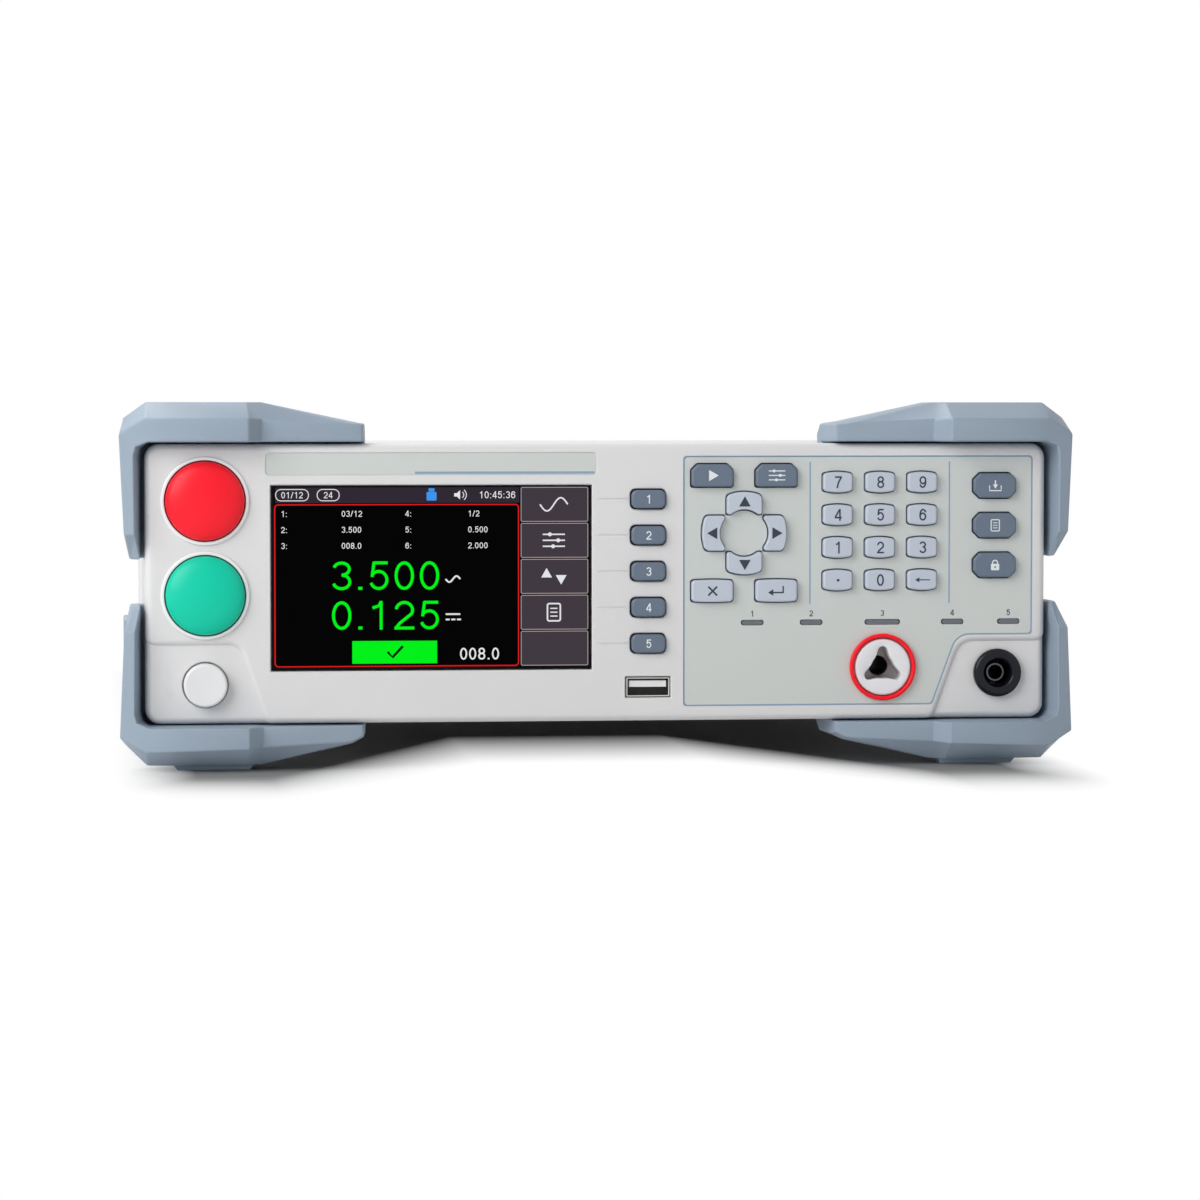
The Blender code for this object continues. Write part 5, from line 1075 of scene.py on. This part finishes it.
class TESTER_OT_overlay(bpy.types.Operator):
    """Make the film round the keys and print its border and its figures"""
    bl_idname = "tester.overlay"
    bl_label = "Keypad film"

    def execute(self, context):
        outlines = [overlay_edge()]
        for node, corners, radii, *_ in key_shapes():
            if not node.startswith("key_f"):
                outlines.append(key_opening(corners, radii) + key_place(node))
        outlet = node_middle("hv_socket")
        outlines.append(circle(outlet.x, outlet.z, OUTLET_HOLE))
        outlines += light_outlines()
        front = OVERLAY_LOW.y
        thick = 0.0005
        sheet = filled(outlines, front + thick * 1.25, thick)
        piece("keypad_film", sheet, "overlay", CASE, 35.0, ("keypad_overlay",))

        wide = context.scene.tester_sizes.line_width
        border = filled([overlay_edge(0.00003), overlay_edge(wide)], front)
        lines_low, lines_high = 0.0493, 0.0924
        lines = [bar(x - wide / 2, x + wide / 2, lines_low, lines_high, front) for x in (0.0640, 0.1069)]
        piece("film_border_lines", joined([border] + lines), "border", CASE)
        figures = [lettered(str(index + 1), x, LIGHT_Z + 0.0027, 0.0018, front, 0.15)
                   for index, (x, _) in enumerate(light_slots())]
        piece("film_figures", joined(figures), "dark_ink", CASE)
        coat("window", "indicator_light_guide")
        return {"FINISHED"}


class TESTER_OT_buttons(bpy.types.Operator):
    """Make the stop, start and power buttons"""
    bl_idname = "tester.buttons"
    bl_label = "Round buttons"

    def execute(self, context):
        radius, sides = 0.0118, context.scene.tester_sizes.sides
        angle = np.radians(np.linspace(4, 84, 18))
        rise = 0.0034
        for name, finish, slot in (("stop", "stop", "red_button"), ("start", "start", "green_button")):
            node = name + "_button"
            low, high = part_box(node)
            x, z = node_middle(node).x, node_middle(node).z
            dome = [(radius * math.sin(a) * 0.992, low.y + rise * (1 - math.cos(a))) for a in angle]
            rim = low.y + rise
            profile = dome + [(radius * 0.997, rim - 0.0001), (radius, rim + 0.0002), (radius, FLANGE),
                              (radius + 0.0010, FLANGE), (radius + 0.0010, FLANGE + 0.0010),
                              (radius * 0.45, FLANGE + 0.0010), (radius * 0.45, high.y)]
            piece(node + "_dome", turned(x, z, profile, sides=sides), finish, name, 40.0, (node,))
            # The ring over the collar has a real rolled shape and a lighter white as a painted highlight.
            collar_highlight = [(0.01222, FACE - 0.0006), (0.01232, FACE - 0.00088), (0.0127, FACE - 0.00092),
                     (0.01305, FACE - 0.00085), (0.0132, FACE - 0.0006)]
            piece(name + "_collar_highlight", turned(x, z, collar_highlight, True, sides), "collar_highlight", CASE, 60.0)
        low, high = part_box("power_button")
        x, z = node_middle("power_button").x, node_middle("power_button").z
        radius = 0.0065
        # The top is dished: its depth falls with the square of the distance to the middle
        share = np.linspace(0.03, 1, 8)
        dish = [(0.0054 * s, low.y + 0.00025 * (1 - s * s) + 0.00002) for s in share]
        edge = [(radius - inwards, low.y + back) for inwards, back in rolled_edge(0.0007)]
        stem = 0.0028
        profile = dish + edge + [(radius, FLANGE), (radius + 0.0013, FLANGE),
                                 (radius + 0.0013, FLANGE + 0.0010), (stem, FLANGE + 0.0010),
                                 (stem, high.y)]
        piece("power_button_cap", turned(x, z, profile, sides=64), "white", "power", 40.0,
              ("power_button",))
        level_y = FACE + ZONE_STEP
        off = filled([circle(x - 0.0108, z - 0.0022, across, 32) for across in (0.0022, 0.0015)],
                     level_y, 0.00012)
        on = bar(x - 0.01115, x - 0.01045, z + 0.0012, z + 0.0034, level_y, 0.00012)
        piece("power_marks", joined([off, on]), "panel", CASE)
        coat("matt_black", "power_switch")
        return {"FINISHED"}


def picture(name, shapes, finish):
    piece(name, joined(shapes), finish, CASE)


class TESTER_OT_display(bpy.types.Operator):
    """Make the display's glass and the picture on it"""
    bl_idname = "tester.display"
    bl_label = "Display"
    head_z = 0.0826

    def head_line(self, y):
        """Two framed figures, a loudspeaker with two arcs of sound, and a time."""
        z, shapes = self.head_z, []
        for x, text, width in ((-0.0928, "01/12", 0.0098), (-0.0820, "24", 0.0066)):
            shapes.append(lettered(text, x, z, 0.0019, y))
            shapes.append(stroke(rectangle(x, z, width, 0.0034, 0.0016), 0.00025, y, closed=True))
        speaker = np.array([(-0.0016, -0.0005), (-0.0008, -0.0005), (0.0002, -0.0014), (0.0002, 0.0014),
                            (-0.0008, 0.0005), (-0.0016, 0.0005)]) + (-0.0426, z)
        shapes += [filled([speaker], y), lettered("10:45:36", -0.0312, z, 0.0021, y)]
        bend = math.degrees(0.9)
        return shapes + [stroke(swing(-0.0424, z, radius, radius, -bend, bend, 9), 0.00025, y)
                         for radius in (0.0011, 0.0019)]

    def rows(self, y):
        """Six numbered values in two columns of three, and one larger value below."""
        shapes = [lettered("008.0", -0.0366, 0.0348, 0.0036, y, 0.13)]
        values = ("03/12", "3.500", "008.0", "1/2", "0.500", "2.000")
        for index, value in enumerate(values):
            z = 0.0770 - index % 3 * 0.0048
            number_x, value_x = ((-0.0952, -0.0780), (-0.0580, -0.0400))[index // 3]
            shapes.append(lettered(f"{index + 1}:", number_x, z, 0.0018, y))
            shapes.append(lettered(value, value_x, z, 0.0018, y, align=0.0))
        return shapes

    def units(self, volts_z, amps_z, y):
        """A wave beside the upper figure, and a line over three dashes beside the lower one."""
        dashes = [bar(x, x + 0.0012, amps_z - 0.0016, amps_z - 0.0011, y)
                  for x in (-0.0468, -0.0451, -0.0434)]
        return [stroke(wave_line(-0.0446, volts_z - 0.0011, 0.0022, 0.0009), 0.0005, y),
                bar(-0.0468, -0.0424, amps_z, amps_z + 0.0005, y)] + dashes

    def cell_signs(self, x, centres, y):
        """The signs in the cells at the right, from the top: wave, sliders, up and down, page."""
        wave, sliders, arrows, page = centres[:4]
        return [stroke(wave_line(x, wave, 0.0042, 0.0020), 0.00045, y),
                *sign("sliders", x, sliders, y, 0.0048),
                filled([triangle(x - 0.0022, arrows + 0.0006, 0.0019, 0.0)], y),
                filled([triangle(x + 0.0022, arrows - 0.0006, 0.0019, math.pi)], y),
                *sign("page", x, page, y, 0.0052)]

    def execute(self, context):
        coat("glass", "display_window")
        coat("matt_black", "display_module")
        y = WINDOW_LOW.y
        left, right, low, high, side = -0.0983, -0.0037, 0.0309, 0.0851, -0.0245
        bar_low = high - 0.0049
        ink2, ink3 = y - INK, y - 2 * INK
        picture("picture_ground", [bar(left, right, low, high, y)], "picture_black")
        picture("picture_head", [bar(left + 0.0004, side, bar_low, high - 0.0002, ink2)], "picture_bar")
        cell, wide = (high - low) / 5, right - side
        centres = [high - cell * (index + 0.5) for index in range(5)]
        middle = (side + right) / 2 + 0.0002
        cells = [filled([rectangle(middle, z, wide - 0.0004, cell - 0.0004, 0.0004)], ink2)
                 for z in centres]
        rims = [stroke(rectangle(middle, z, wide - 0.0006, cell - 0.0006, 0.0004), 0.00022, ink3,
                       closed=True) for z in centres]
        picture("picture_cells", cells, "picture_cell")
        box_high = bar_low - 0.0002
        frame_line = rectangle((left + side) / 2, (low + box_high) / 2, side - left - 0.0006,
                               box_high - low - 0.0006, 0.0010)
        picture("picture_frame", [stroke(frame_line, 0.00036, ink2, closed=True)], "picture_red")
        volts_z, amps_z = 0.0584, 0.0465
        figures = [lettered(text, -0.06485, z, 0.0086, ink2, 0.105, stretch=1.16)
                   for text, z in (("3.500", volts_z), ("0.125", amps_z))]
        picture("picture_readout", figures + [bar(-0.0749, -0.0494, 0.0320, 0.0388, ink2)], "digits")
        tick = np.array([(-0.0022, 0.0002), (-0.0007, -0.0014), (0.0024, 0.0019)]) + (-0.0621, 0.0353)
        picture("picture_tick", [stroke(tick, 0.0008, ink3)], "picture_black")
        picture("picture_rims", rims, "picture_rim")
        picture("picture_print", self.head_line(ink3) + self.rows(ink2) + self.units(volts_z, amps_z, ink2)
                + self.cell_signs((side + right) / 2, centres, ink3), "picture_white")
        picture("picture_memory", [filled([rectangle(-0.0510, 0.0822, 0.0030, 0.0026, 0.0003, 3)], ink3),
                                   filled([rectangle(-0.0510, 0.0841, 0.0018, 0.0010, 0.0002, 3)], ink3)],
                "picture_blue")
        strip = rectangle((WINDOW_LOW.x + WINDOW_HIGH.x) / 2, HEADER_Z, 0.0991, 0.0064, 0.0010)
        header = filled([strip], FACE + 0.0004, 0.0001)
        piece("header_film", header, "overlay", CASE)
        piece("header_line", bar(-0.0560, -0.0018, 0.0889, 0.0896, FACE + 0.00027), "border", CASE)
        return {"FINISHED"}


# Sockets on the front

def lobed(x, z, sides, grow=0.0):
    """The outlet's well: near a lobe its edge is the lobe's circle seen from the middle, at
    4.8 cos d + the root of (1.5 squared - (4.8 sin d) squared) mm for a turn d from the lobe.
    Between the lobes it is a waist that swells towards them with the 3.2nd power of the turn."""
    angle = np.linspace(0, 2 * np.pi, sides, endpoint=False)
    from_lobe = np.abs((angle - math.pi / 2 + math.pi / 3) % (2 * math.pi / 3) - math.pi / 3)
    reach, lobe = 0.0048, 0.0015
    across = np.clip(lobe ** 2 - (reach * np.sin(from_lobe)) ** 2, 0, None)
    edge = reach * np.cos(from_lobe) + np.sqrt(across)
    waist = 0.0035 + 0.00198 * (np.clip(60 - np.degrees(from_lobe), 0, 45) / 45) ** 3.2
    radius = np.where(from_lobe < math.radians(15), edge, waist) + grow
    return np.stack([x + np.cos(angle) * radius, z + np.sin(angle) * radius], -1)


class TESTER_OT_sockets(bpy.types.Operator):
    """Make the high voltage outlet, its ring, the return jack and the data port"""
    bl_idname = "tester.sockets"
    bl_label = "Sockets"

    radius, sides = 0.0086, 120

    def outlet(self):
        low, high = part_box("hv_socket")
        middle = node_middle("hv_socket")
        x, z, radius, sides, front = middle.x, middle.z, self.radius, self.sides, low.y
        collar, collar_back = 0.0044, FLANGE + 0.0020
        stations = ((0.0, high.y), (0.0, collar_back), (collar, collar_back), (collar, FLANGE),
                    (0.0, FLANGE))
        rows = [(circle(x, z, 2 * radius + wider, sides), y) for wider, y in stations]
        rows += [(circle(x, z, 2 * (radius - inwards), sides), front + back)
                 for inwards, back in reversed(rolled_edge(0.0008, 6))]
        rows += [(lobed(x, z, sides, grow), front + back)
                 for grow, back in ((0.0003, 0.0), (0.0001, 0.0001), (0.0, 0.0004), (0.0, 0.0086))]
        rows += [(circle(x, z, across, sides), front + back)
                 for across, back in ((0.0062, 0.0090), (0.0058, 0.0096), (0.0058, 0.0275))]
        piece("hv_socket_body", lofted(rows), "insulator", CASE, 40.0, ("hv_socket",))

    def ring(self):
        low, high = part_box("hv_socket_ring")
        middle = node_middle("hv_socket")
        inner, outer = self.radius + FIT, (high.x - low.x) / 2
        front, back = low.y, high.y
        turn = np.linspace(0, math.pi, 11)
        middle_radius, half = (inner + outer) / 2, (outer - inner) / 2
        crown = [(middle_radius + half * math.cos(a), front + 0.0005 - 0.0005 * math.sin(a)) for a in turn]
        band = turned(middle.x, middle.z, [(inner, back), (outer, back)] + crown, True, self.sides)
        piece("hv_ring_band", band, "ring", CASE, 40.0, ("hv_socket_ring",))

    def return_jack(self):
        low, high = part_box("rtn_socket")
        x, z = node_middle("rtn_socket").x, node_middle("rtn_socket").z
        front, end = low.y, high.y
        outer, body, well = 0.00735, 0.0060, 0.0042
        seat = FACE + ZONE_STEP - FIT
        turn = np.linspace(0, math.pi / 2, 8)
        rim = [(outer - 0.0012 + 0.0012 * math.sin(a), front + 0.0012 * (1 - math.cos(a))) for a in turn]
        throat = [(well + 0.0009 * (1 - math.sin(a)), front + 0.0009 * (1 - math.cos(a))) for a in turn]
        nut, nut_back, tail, tail_front = body + 0.0015, FLANGE + 0.0022, 0.0034, end - 0.0029
        profile = rim + [(outer, seat), (body, seat), (body, FLANGE), (nut, FLANGE), (nut, nut_back),
                         (body, nut_back), (body, end), (tail, end), (tail, tail_front),
                         (well, tail_front)] + throat[::-1]
        piece("return_jack_body", turned(x, z, profile, True), "black", CASE, 40.0,
              ("rtn_socket",))
        sleeve, bore, tip = 0.0029, 0.0021, front + 0.0048
        profile = [(sleeve, tip + 0.0003), (sleeve, end - 0.0030), (bore, end - 0.0030),
                   (bore, tip + 0.0003), (bore + 0.00015, tip), (sleeve - 0.0002, tip)]
        # Painted shade: the sleeve deep in the jack has the dark metal finish in place of nickel.
        piece("return_jack_sleeve", turned(x, z, profile, True, 48), "dark_metal", CASE)

    def data_port(self):
        low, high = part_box("usb_port")
        x, z = node_middle("usb_port").x, node_middle("usb_port").z
        wide, tall, wall = high.x - low.x, high.z - low.z, 0.0004
        outside = rectangle(x, z, wide, tall, 0.0004, 4)
        inside = inset(outside, wall)
        rows = [(outside, high.y), (outside, low.y + 0.0001), (inset(outside, 0.0001), low.y),
                (inset(outside, 0.0003), low.y), (inside, low.y + 0.0001), (inside, high.y - 0.0008)]
        piece("usb_shell", lofted(rows), "nickel", CASE, 35.0, ("usb_port",))
        half, front, back = (wide - 2 * wall) / 2 - 0.0006, low.y + 0.0008, high.y - 0.0009
        top = high.z - wall - 0.0006
        tongue = box_shape((x - half, front, top - 0.0019), (x + half, back, top))
        piece("usb_tongue", tongue, "white", CASE)
        pins = [box_shape((x + pin - 0.0005, front + 0.0008, top - 0.00196),
                          (x + pin + 0.0005, back - 0.0004, top - 0.0018))
                for pin in (-0.0035, -0.001, 0.001, 0.0035)]
        piece("usb_contacts", joined(pins), "gold", CASE)
        # Painted shade: a matt black sheet at the back of the port, in front of the shell's plated back
        # wall.
        shadow = box_shape((x - wide / 2 + wall, high.y - 0.0011, low.z + wall),
                           (x + wide / 2 - wall, high.y - 0.0009, high.z - wall))
        piece("usb_back_painted_shade", shadow, "matt_black", CASE)

    def execute(self, context):
        self.outlet()
        self.ring()
        self.return_jack()
        self.data_port()
        return {"FINISHED"}


class TESTER_OT_guards(bpy.types.Operator):
    """Make the rubber guards of the corners and their foot pads"""
    bl_idname = "tester.guards"
    bl_label = "Corner guards"

    def execute(self, context):
        edge = context.scene.tester_sizes.guard_edge
        for end in ("front", "rear"):
            for height in ("upper", "lower"):
                for hand in ("left", "right"):
                    softened(f"guard_{end}_{height}_{hand}", "guard", edge)
        return {"FINISHED"}


def screw(x, y, z, axis, radius=0.0028, height=0.0012):
    """A pan head with a cross recess: a turned head, and a cross of two grooves carved in it."""
    turn = np.linspace(0.12, math.pi / 2, 7)
    dome = [(radius * math.sin(a), -height * (0.35 + 0.65 * math.cos(a))) for a in turn]
    head = turned(0.0, 0.0, dome + [(radius, 0.0)], sides=32)
    arm, deep = radius * 0.55, -height * 0.45
    grooves = [box_shape((-arm, -height - 0.001, -0.0003), (arm, deep, 0.0003)),
               box_shape((-0.0003, -height - 0.001, -arm), (0.0003, deep, arm))]
    points, faces = carved(head, [("DIFFERENCE", grooves[0]), ("DIFFERENCE", grooves[1])])
    across, out, up = points[:, 0], -points[:, 1], points[:, 2]
    placed = {"-y": (across, -out, up), "+y": (-across, out, up), "+z": (across, up, out),
              "-x": (-out, -across, up), "+x": (out, across, up)}[axis]
    return np.stack(placed, -1) + (x, y, z), faces


class TESTER_OT_back(bpy.types.Operator):
    """Finish the case, the cover, the fan, the inlet and the fittings of the back"""
    bl_idname = "tester.back"
    bl_label = "Case and back"

    def execute(self, context):
        coat("case", "top_cover", "chassis_tray", "rear_panel")
        coat("matt_black", "fan_frame", "fan_rotor", "mains_inlet", "fuse_drawer")
        coat("nickel", "serial_port")
        low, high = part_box("rear_panel")
        cover_low, cover_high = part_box("top_cover")
        face = high.y
        screws = [screw(x, face, z, "+y") for x in (low.x + 0.008, high.x - 0.008)
                  for z in (low.z + 0.008, high.z - 0.008)]
        fan_low, fan_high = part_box("fan_frame")
        fan_x, fan_z = (fan_low.x + fan_high.x) / 2, (fan_low.z + fan_high.z) / 2
        screws += [screw(fan_x + across, face, fan_z + up, "+y") for across in (-0.025, 0.025)
                   for up in (-0.025, 0.025)]
        inlet = node_middle("mains_inlet")
        inlet_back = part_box("mains_inlet")[1].y
        screws += [screw(inlet.x + side * 0.020, inlet_back - 0.0004, inlet.z, "+y", 0.0026, 0.0010)
                   for side in (-1, 1)]
        for x, axis in ((cover_low.x, "-x"), (cover_high.x, "+x")):
            screws += [screw(x, y, 0.0255, axis, 0.0032, 0.0010) for y in (-0.088, 0.088)]
        piece("case_screws", joined(screws), "plate", CASE, 30.0)

        x, z = -0.052, 0.076
        post = turned(x, z, [(0.0048, face), (0.0048, face + 0.0030), (0.0030, face + 0.0030),
                             (0.0030, face + 0.0052), (0.0046, face + 0.0054), (0.0046, face + 0.0078),
                             (0.0040, face + 0.0084)], sides=48)
        piece("ground_post", post, "brass", CASE)

        x0, x1, z0, z1 = 0.002, 0.040, 0.070, 0.079
        block_shape = box_shape((x0, face, z0), (x1, face + 0.0065, z1))
        starts = [x0 + index * 0.0045 for index in range(8)]
        mouths = [box_shape((x + 0.0022, face + 0.0020, z0 + 0.0016),
                            (x + 0.0056, face + 0.0080, z0 + 0.0050)) for x in starts]
        slots = [turned(x + 0.0039, z1 - 0.0022, [(0.0011, face + 0.0055), (0.0011, face + 0.008)],
                        sides=20) for x in starts]
        terminals = carved(block_shape, [("DIFFERENCE", joined(mouths)), ("DIFFERENCE", joined(slots))])
        piece("remote_terminals", terminals, "terminal", CASE)
        port = node_middle("serial_port")
        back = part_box("serial_port")[1].y
        holes = []
        for count, z in ((5, 0.0014), (4, -0.0014)):
            holes += [circle(port.x + (index - (count - 1) / 2) * 0.00277, port.z + z, 0.0011, 16)
                      for index in range(count)]
        w, h = 0.0079, 0.0036
        insert = rounded([(-w + 0.0008, -h), (w - 0.0008, -h), (w, h), (-w, h)], 0.0016, 5)
        points, faces = filled([insert + (port.x, port.z)] + holes, 0.0, 0.0012)
        points = points * (1, -1, 1) + (0, back - 0.0025, 0)
        piece("serial_insert", (points, faces), "matt_black", CASE)
        return {"FINISHED"}


class TESTER_OT_inside(bpy.types.Operator):
    """Finish the boards, the transformer and the display module inside the case"""
    bl_idname = "tester.inside"
    bl_label = "Inside"

    def execute(self, context):
        coat("green_board", "front_board", "main_board")
        coat("iron", "hv_transformer")
        return {"FINISHED"}


# Where the camera stands, and its turns in degrees: level would be 90
CAMERA_PLACE = (-0.1517, -1.4415, 0.1075)
CAMERA_TURN = (87.5, 0.0, -6.7)


def area_lamp(name, place, target, size, power):
    data = bpy.data.lights.new(name, "AREA")
    data.shape = "RECTANGLE"
    data.size, data.size_y = size
    data.energy = power
    made = linked(name, data)
    made.location = place
    away = np.asarray(place, float) - np.asarray(target, float)
    flat = math.hypot(away[0], away[1])
    made.rotation_euler = (math.atan2(flat, away[2]), 0.0, math.atan2(away[0], -away[1]))


class TESTER_OT_stage(bpy.types.Operator):
    """Make the floor, the backdrop light, the lamps and the camera"""
    bl_idname = "tester.stage"
    bl_label = "Studio"

    def execute(self, context):
        settings = context.scene.tester_studio
        scene = context.scene

        mesh = bpy.data.meshes.new("floor")
        reach = 12.0
        corners = [(-reach, -reach, 0), (reach, -reach, 0), (reach, reach, 0), (-reach, reach, 0)]
        mesh.from_pydata(corners, [], [(0, 1, 2, 3)])
        mesh.materials.append(studio_floor("studio_floor"))
        made = linked("floor", mesh)

        world = bpy.data.worlds.new("studio_world")
        world.use_nodes = True
        nodes, links = world.node_tree.nodes, world.node_tree.links
        nodes.clear()
        output = nodes.new("ShaderNodeOutputWorld")
        mix = nodes.new("ShaderNodeMixShader")
        path = nodes.new("ShaderNodeLightPath")
        seen = seen_or_mirrored(nodes, links, path)
        soft, white = nodes.new("ShaderNodeBackground"), nodes.new("ShaderNodeBackground")
        for shine, strength in ((soft, settings.ambient), (white, 1.0)):
            shine.inputs["Color"].default_value = (1.0, 1.0, 1.0, 1.0)
            shine.inputs["Strength"].default_value = strength
        links.new(seen, mix.inputs["Fac"])
        links.new(soft.outputs[0], mix.inputs[1])
        links.new(white.outputs[0], mix.inputs[2])
        links.new(mix.outputs[0], output.inputs["Surface"])
        scene.world = world

        area_lamp("key_lamp", (-1.0, -1.0, 0.75), (0, -0.15, 0.05), (1.0, 1.0), settings.key_power)
        area_lamp("fill_lamp", (1.3, -1.2, 0.7), (0, -0.1, 0.05), (1.2, 1.2), settings.fill_power)
        area_lamp("top_lamp", (-0.45, 0.65, 1.2), (0, 0.0, 0.05), (0.6, 0.6), settings.top_power)

        data = bpy.data.cameras.new("photo_camera")
        data.lens = settings.lens
        data.sensor_width = 36.0
        data.clip_start = 0.01
        data.clip_end = 100.0
        camera = linked("photo_camera", data)
        camera.location = CAMERA_PLACE
        camera.rotation_euler = [math.radians(turn) for turn in CAMERA_TURN]
        scene.camera = camera
        scene.view_settings.view_transform = "Standard"
        return {"FINISHED"}


def studio_floor(name):
    """A white floor that keeps the shadow under and close round the object, and goes over to
    even white for the camera and in reflections. How far a point is out of the shadow is the
    root of the sum of two squares: its way beyond 0.122 m to the side over 0.024 m, and its way
    before a line over 0.11 m to 0.07 m, where the line runs 0.02 m before the middle between the
    feet and 0.18 m before it at the feet. Behind the object white starts 0.17 m on. For the
    same rays the floor also has a painted shadow: it is painted a darker grey under and close before the
    object."""
    made = Finish(name, (0.80, 0.80, 0.80), 0.8)
    x, behind = made.axis("X").size(), made.axis("Y")
    ahead = 0.0 - behind
    outwards = ((x - 0.035) / 0.065).clamped()
    side = (x - 0.122).at_least(0.0) / 0.024
    front = (ahead - 0.020 - outwards * 0.160).at_least(0.0) / (0.110 - outwards * 0.040)
    back = ((behind - 0.170) / 0.200).clamped()
    far = ((side ** 2.0 + front ** 2.0) ** 0.5).clamped().at_least(back)
    # Painted shadow: where this mask is low, the floor's colour goes over to dark grey under and close
    # before the object.
    clear = ((ahead - 0.050 - outwards * 0.120) / 0.060).clamped().at_least(side.clamped())
    nodes, links = made.tree.nodes, made.tree.links
    seen = Value(made, seen_or_mirrored(nodes, links, nodes.new("ShaderNodeLightPath")))
    grain = made.noise(40.0, 2.0)
    paint = made.blend(grain, (0.795, 0.795, 0.795, 1.0), (0.805, 0.805, 0.805, 1.0))
    # Painted shadow: for the camera and in reflections the floor's colour is dark grey under the object.
    made.paint("Base Color", made.blend(seen * (1.0 - clear), paint, (0.22, 0.22, 0.22, 1.0)))
    white, mix = nodes.new("ShaderNodeEmission"), nodes.new("ShaderNodeMixShader")
    links.new((seen * far).socket, mix.inputs["Fac"])
    links.new(made.shader.outputs[0], mix.inputs[1])
    links.new(white.outputs[0], mix.inputs[2])
    links.new(mix.outputs[0], nodes["Material Output"].inputs["Surface"])
    return made.material


def seen_or_mirrored(nodes, links, path):
    """1 for a ray from the camera, off a mirror or through glass, and 0 for the light itself."""
    first, second = nodes.new("ShaderNodeMath"), nodes.new("ShaderNodeMath")
    first.operation = second.operation = "MAXIMUM"
    links.new(path.outputs["Is Camera Ray"], first.inputs[0])
    links.new(path.outputs["Is Glossy Ray"], first.inputs[1])
    links.new(first.outputs[0], second.inputs[0])
    links.new(path.outputs["Is Transmission Ray"], second.inputs[1])
    return second.outputs[0]


OPERATORS = (TESTER_OT_panel, TESTER_OT_overlay, TESTER_OT_keys, TESTER_OT_buttons, TESTER_OT_display,
             TESTER_OT_sockets, TESTER_OT_guards, TESTER_OT_back, TESTER_OT_inside, TESTER_OT_stage)


class TESTER_OT_finishes(bpy.types.Operator):
    """Make the finishes from the colours in the sidebar"""
    bl_idname = "tester.finishes"
    bl_label = "Finishes"

    def execute(self, context):
        make_finishes(context.scene.tester_colours)
        return {"FINISHED"}


class TESTER_PT_sidebar(bpy.types.Panel):
    """Lists the sizes, the colours and the steps"""
    bl_idname = "TESTER_PT_sidebar"
    bl_label = "Bench tester"
    bl_space_type = "VIEW_3D"
    bl_region_type = "UI"
    bl_category = "Tester"

    def draw(self, context):
        scene = context.scene
        for group in (scene.tester_sizes, scene.tester_colours, scene.tester_studio):
            box = self.layout.box()
            for name in group.bl_rna.properties.keys():
                if name not in ("rna_type", "name"):
                    box.prop(group, name)
        self.layout.operator(TESTER_OT_finishes.bl_idname)
        for operator in OPERATORS:
            self.layout.operator(operator.bl_idname)


CLASSES = (TesterSizes, TesterColours, StudioSettings, TESTER_OT_finishes, *OPERATORS, TESTER_PT_sidebar)


def register():
    for made in CLASSES:
        bpy.utils.register_class(made)
    bpy.types.Scene.tester_sizes = bpy.props.PointerProperty(type=TesterSizes)
    bpy.types.Scene.tester_colours = bpy.props.PointerProperty(type=TesterColours)
    bpy.types.Scene.tester_studio = bpy.props.PointerProperty(type=StudioSettings)


def unregister():
    del bpy.types.Scene.tester_studio
    del bpy.types.Scene.tester_colours
    del bpy.types.Scene.tester_sizes
    for made in reversed(CLASSES):
        bpy.utils.unregister_class(made)


def main():
    register()
    bpy.ops.tester.finishes()
    for operator in OPERATORS:
        group, name = operator.bl_idname.split(".")
        getattr(getattr(bpy.ops, group), name)()


if __name__ == "__main__":
    main()
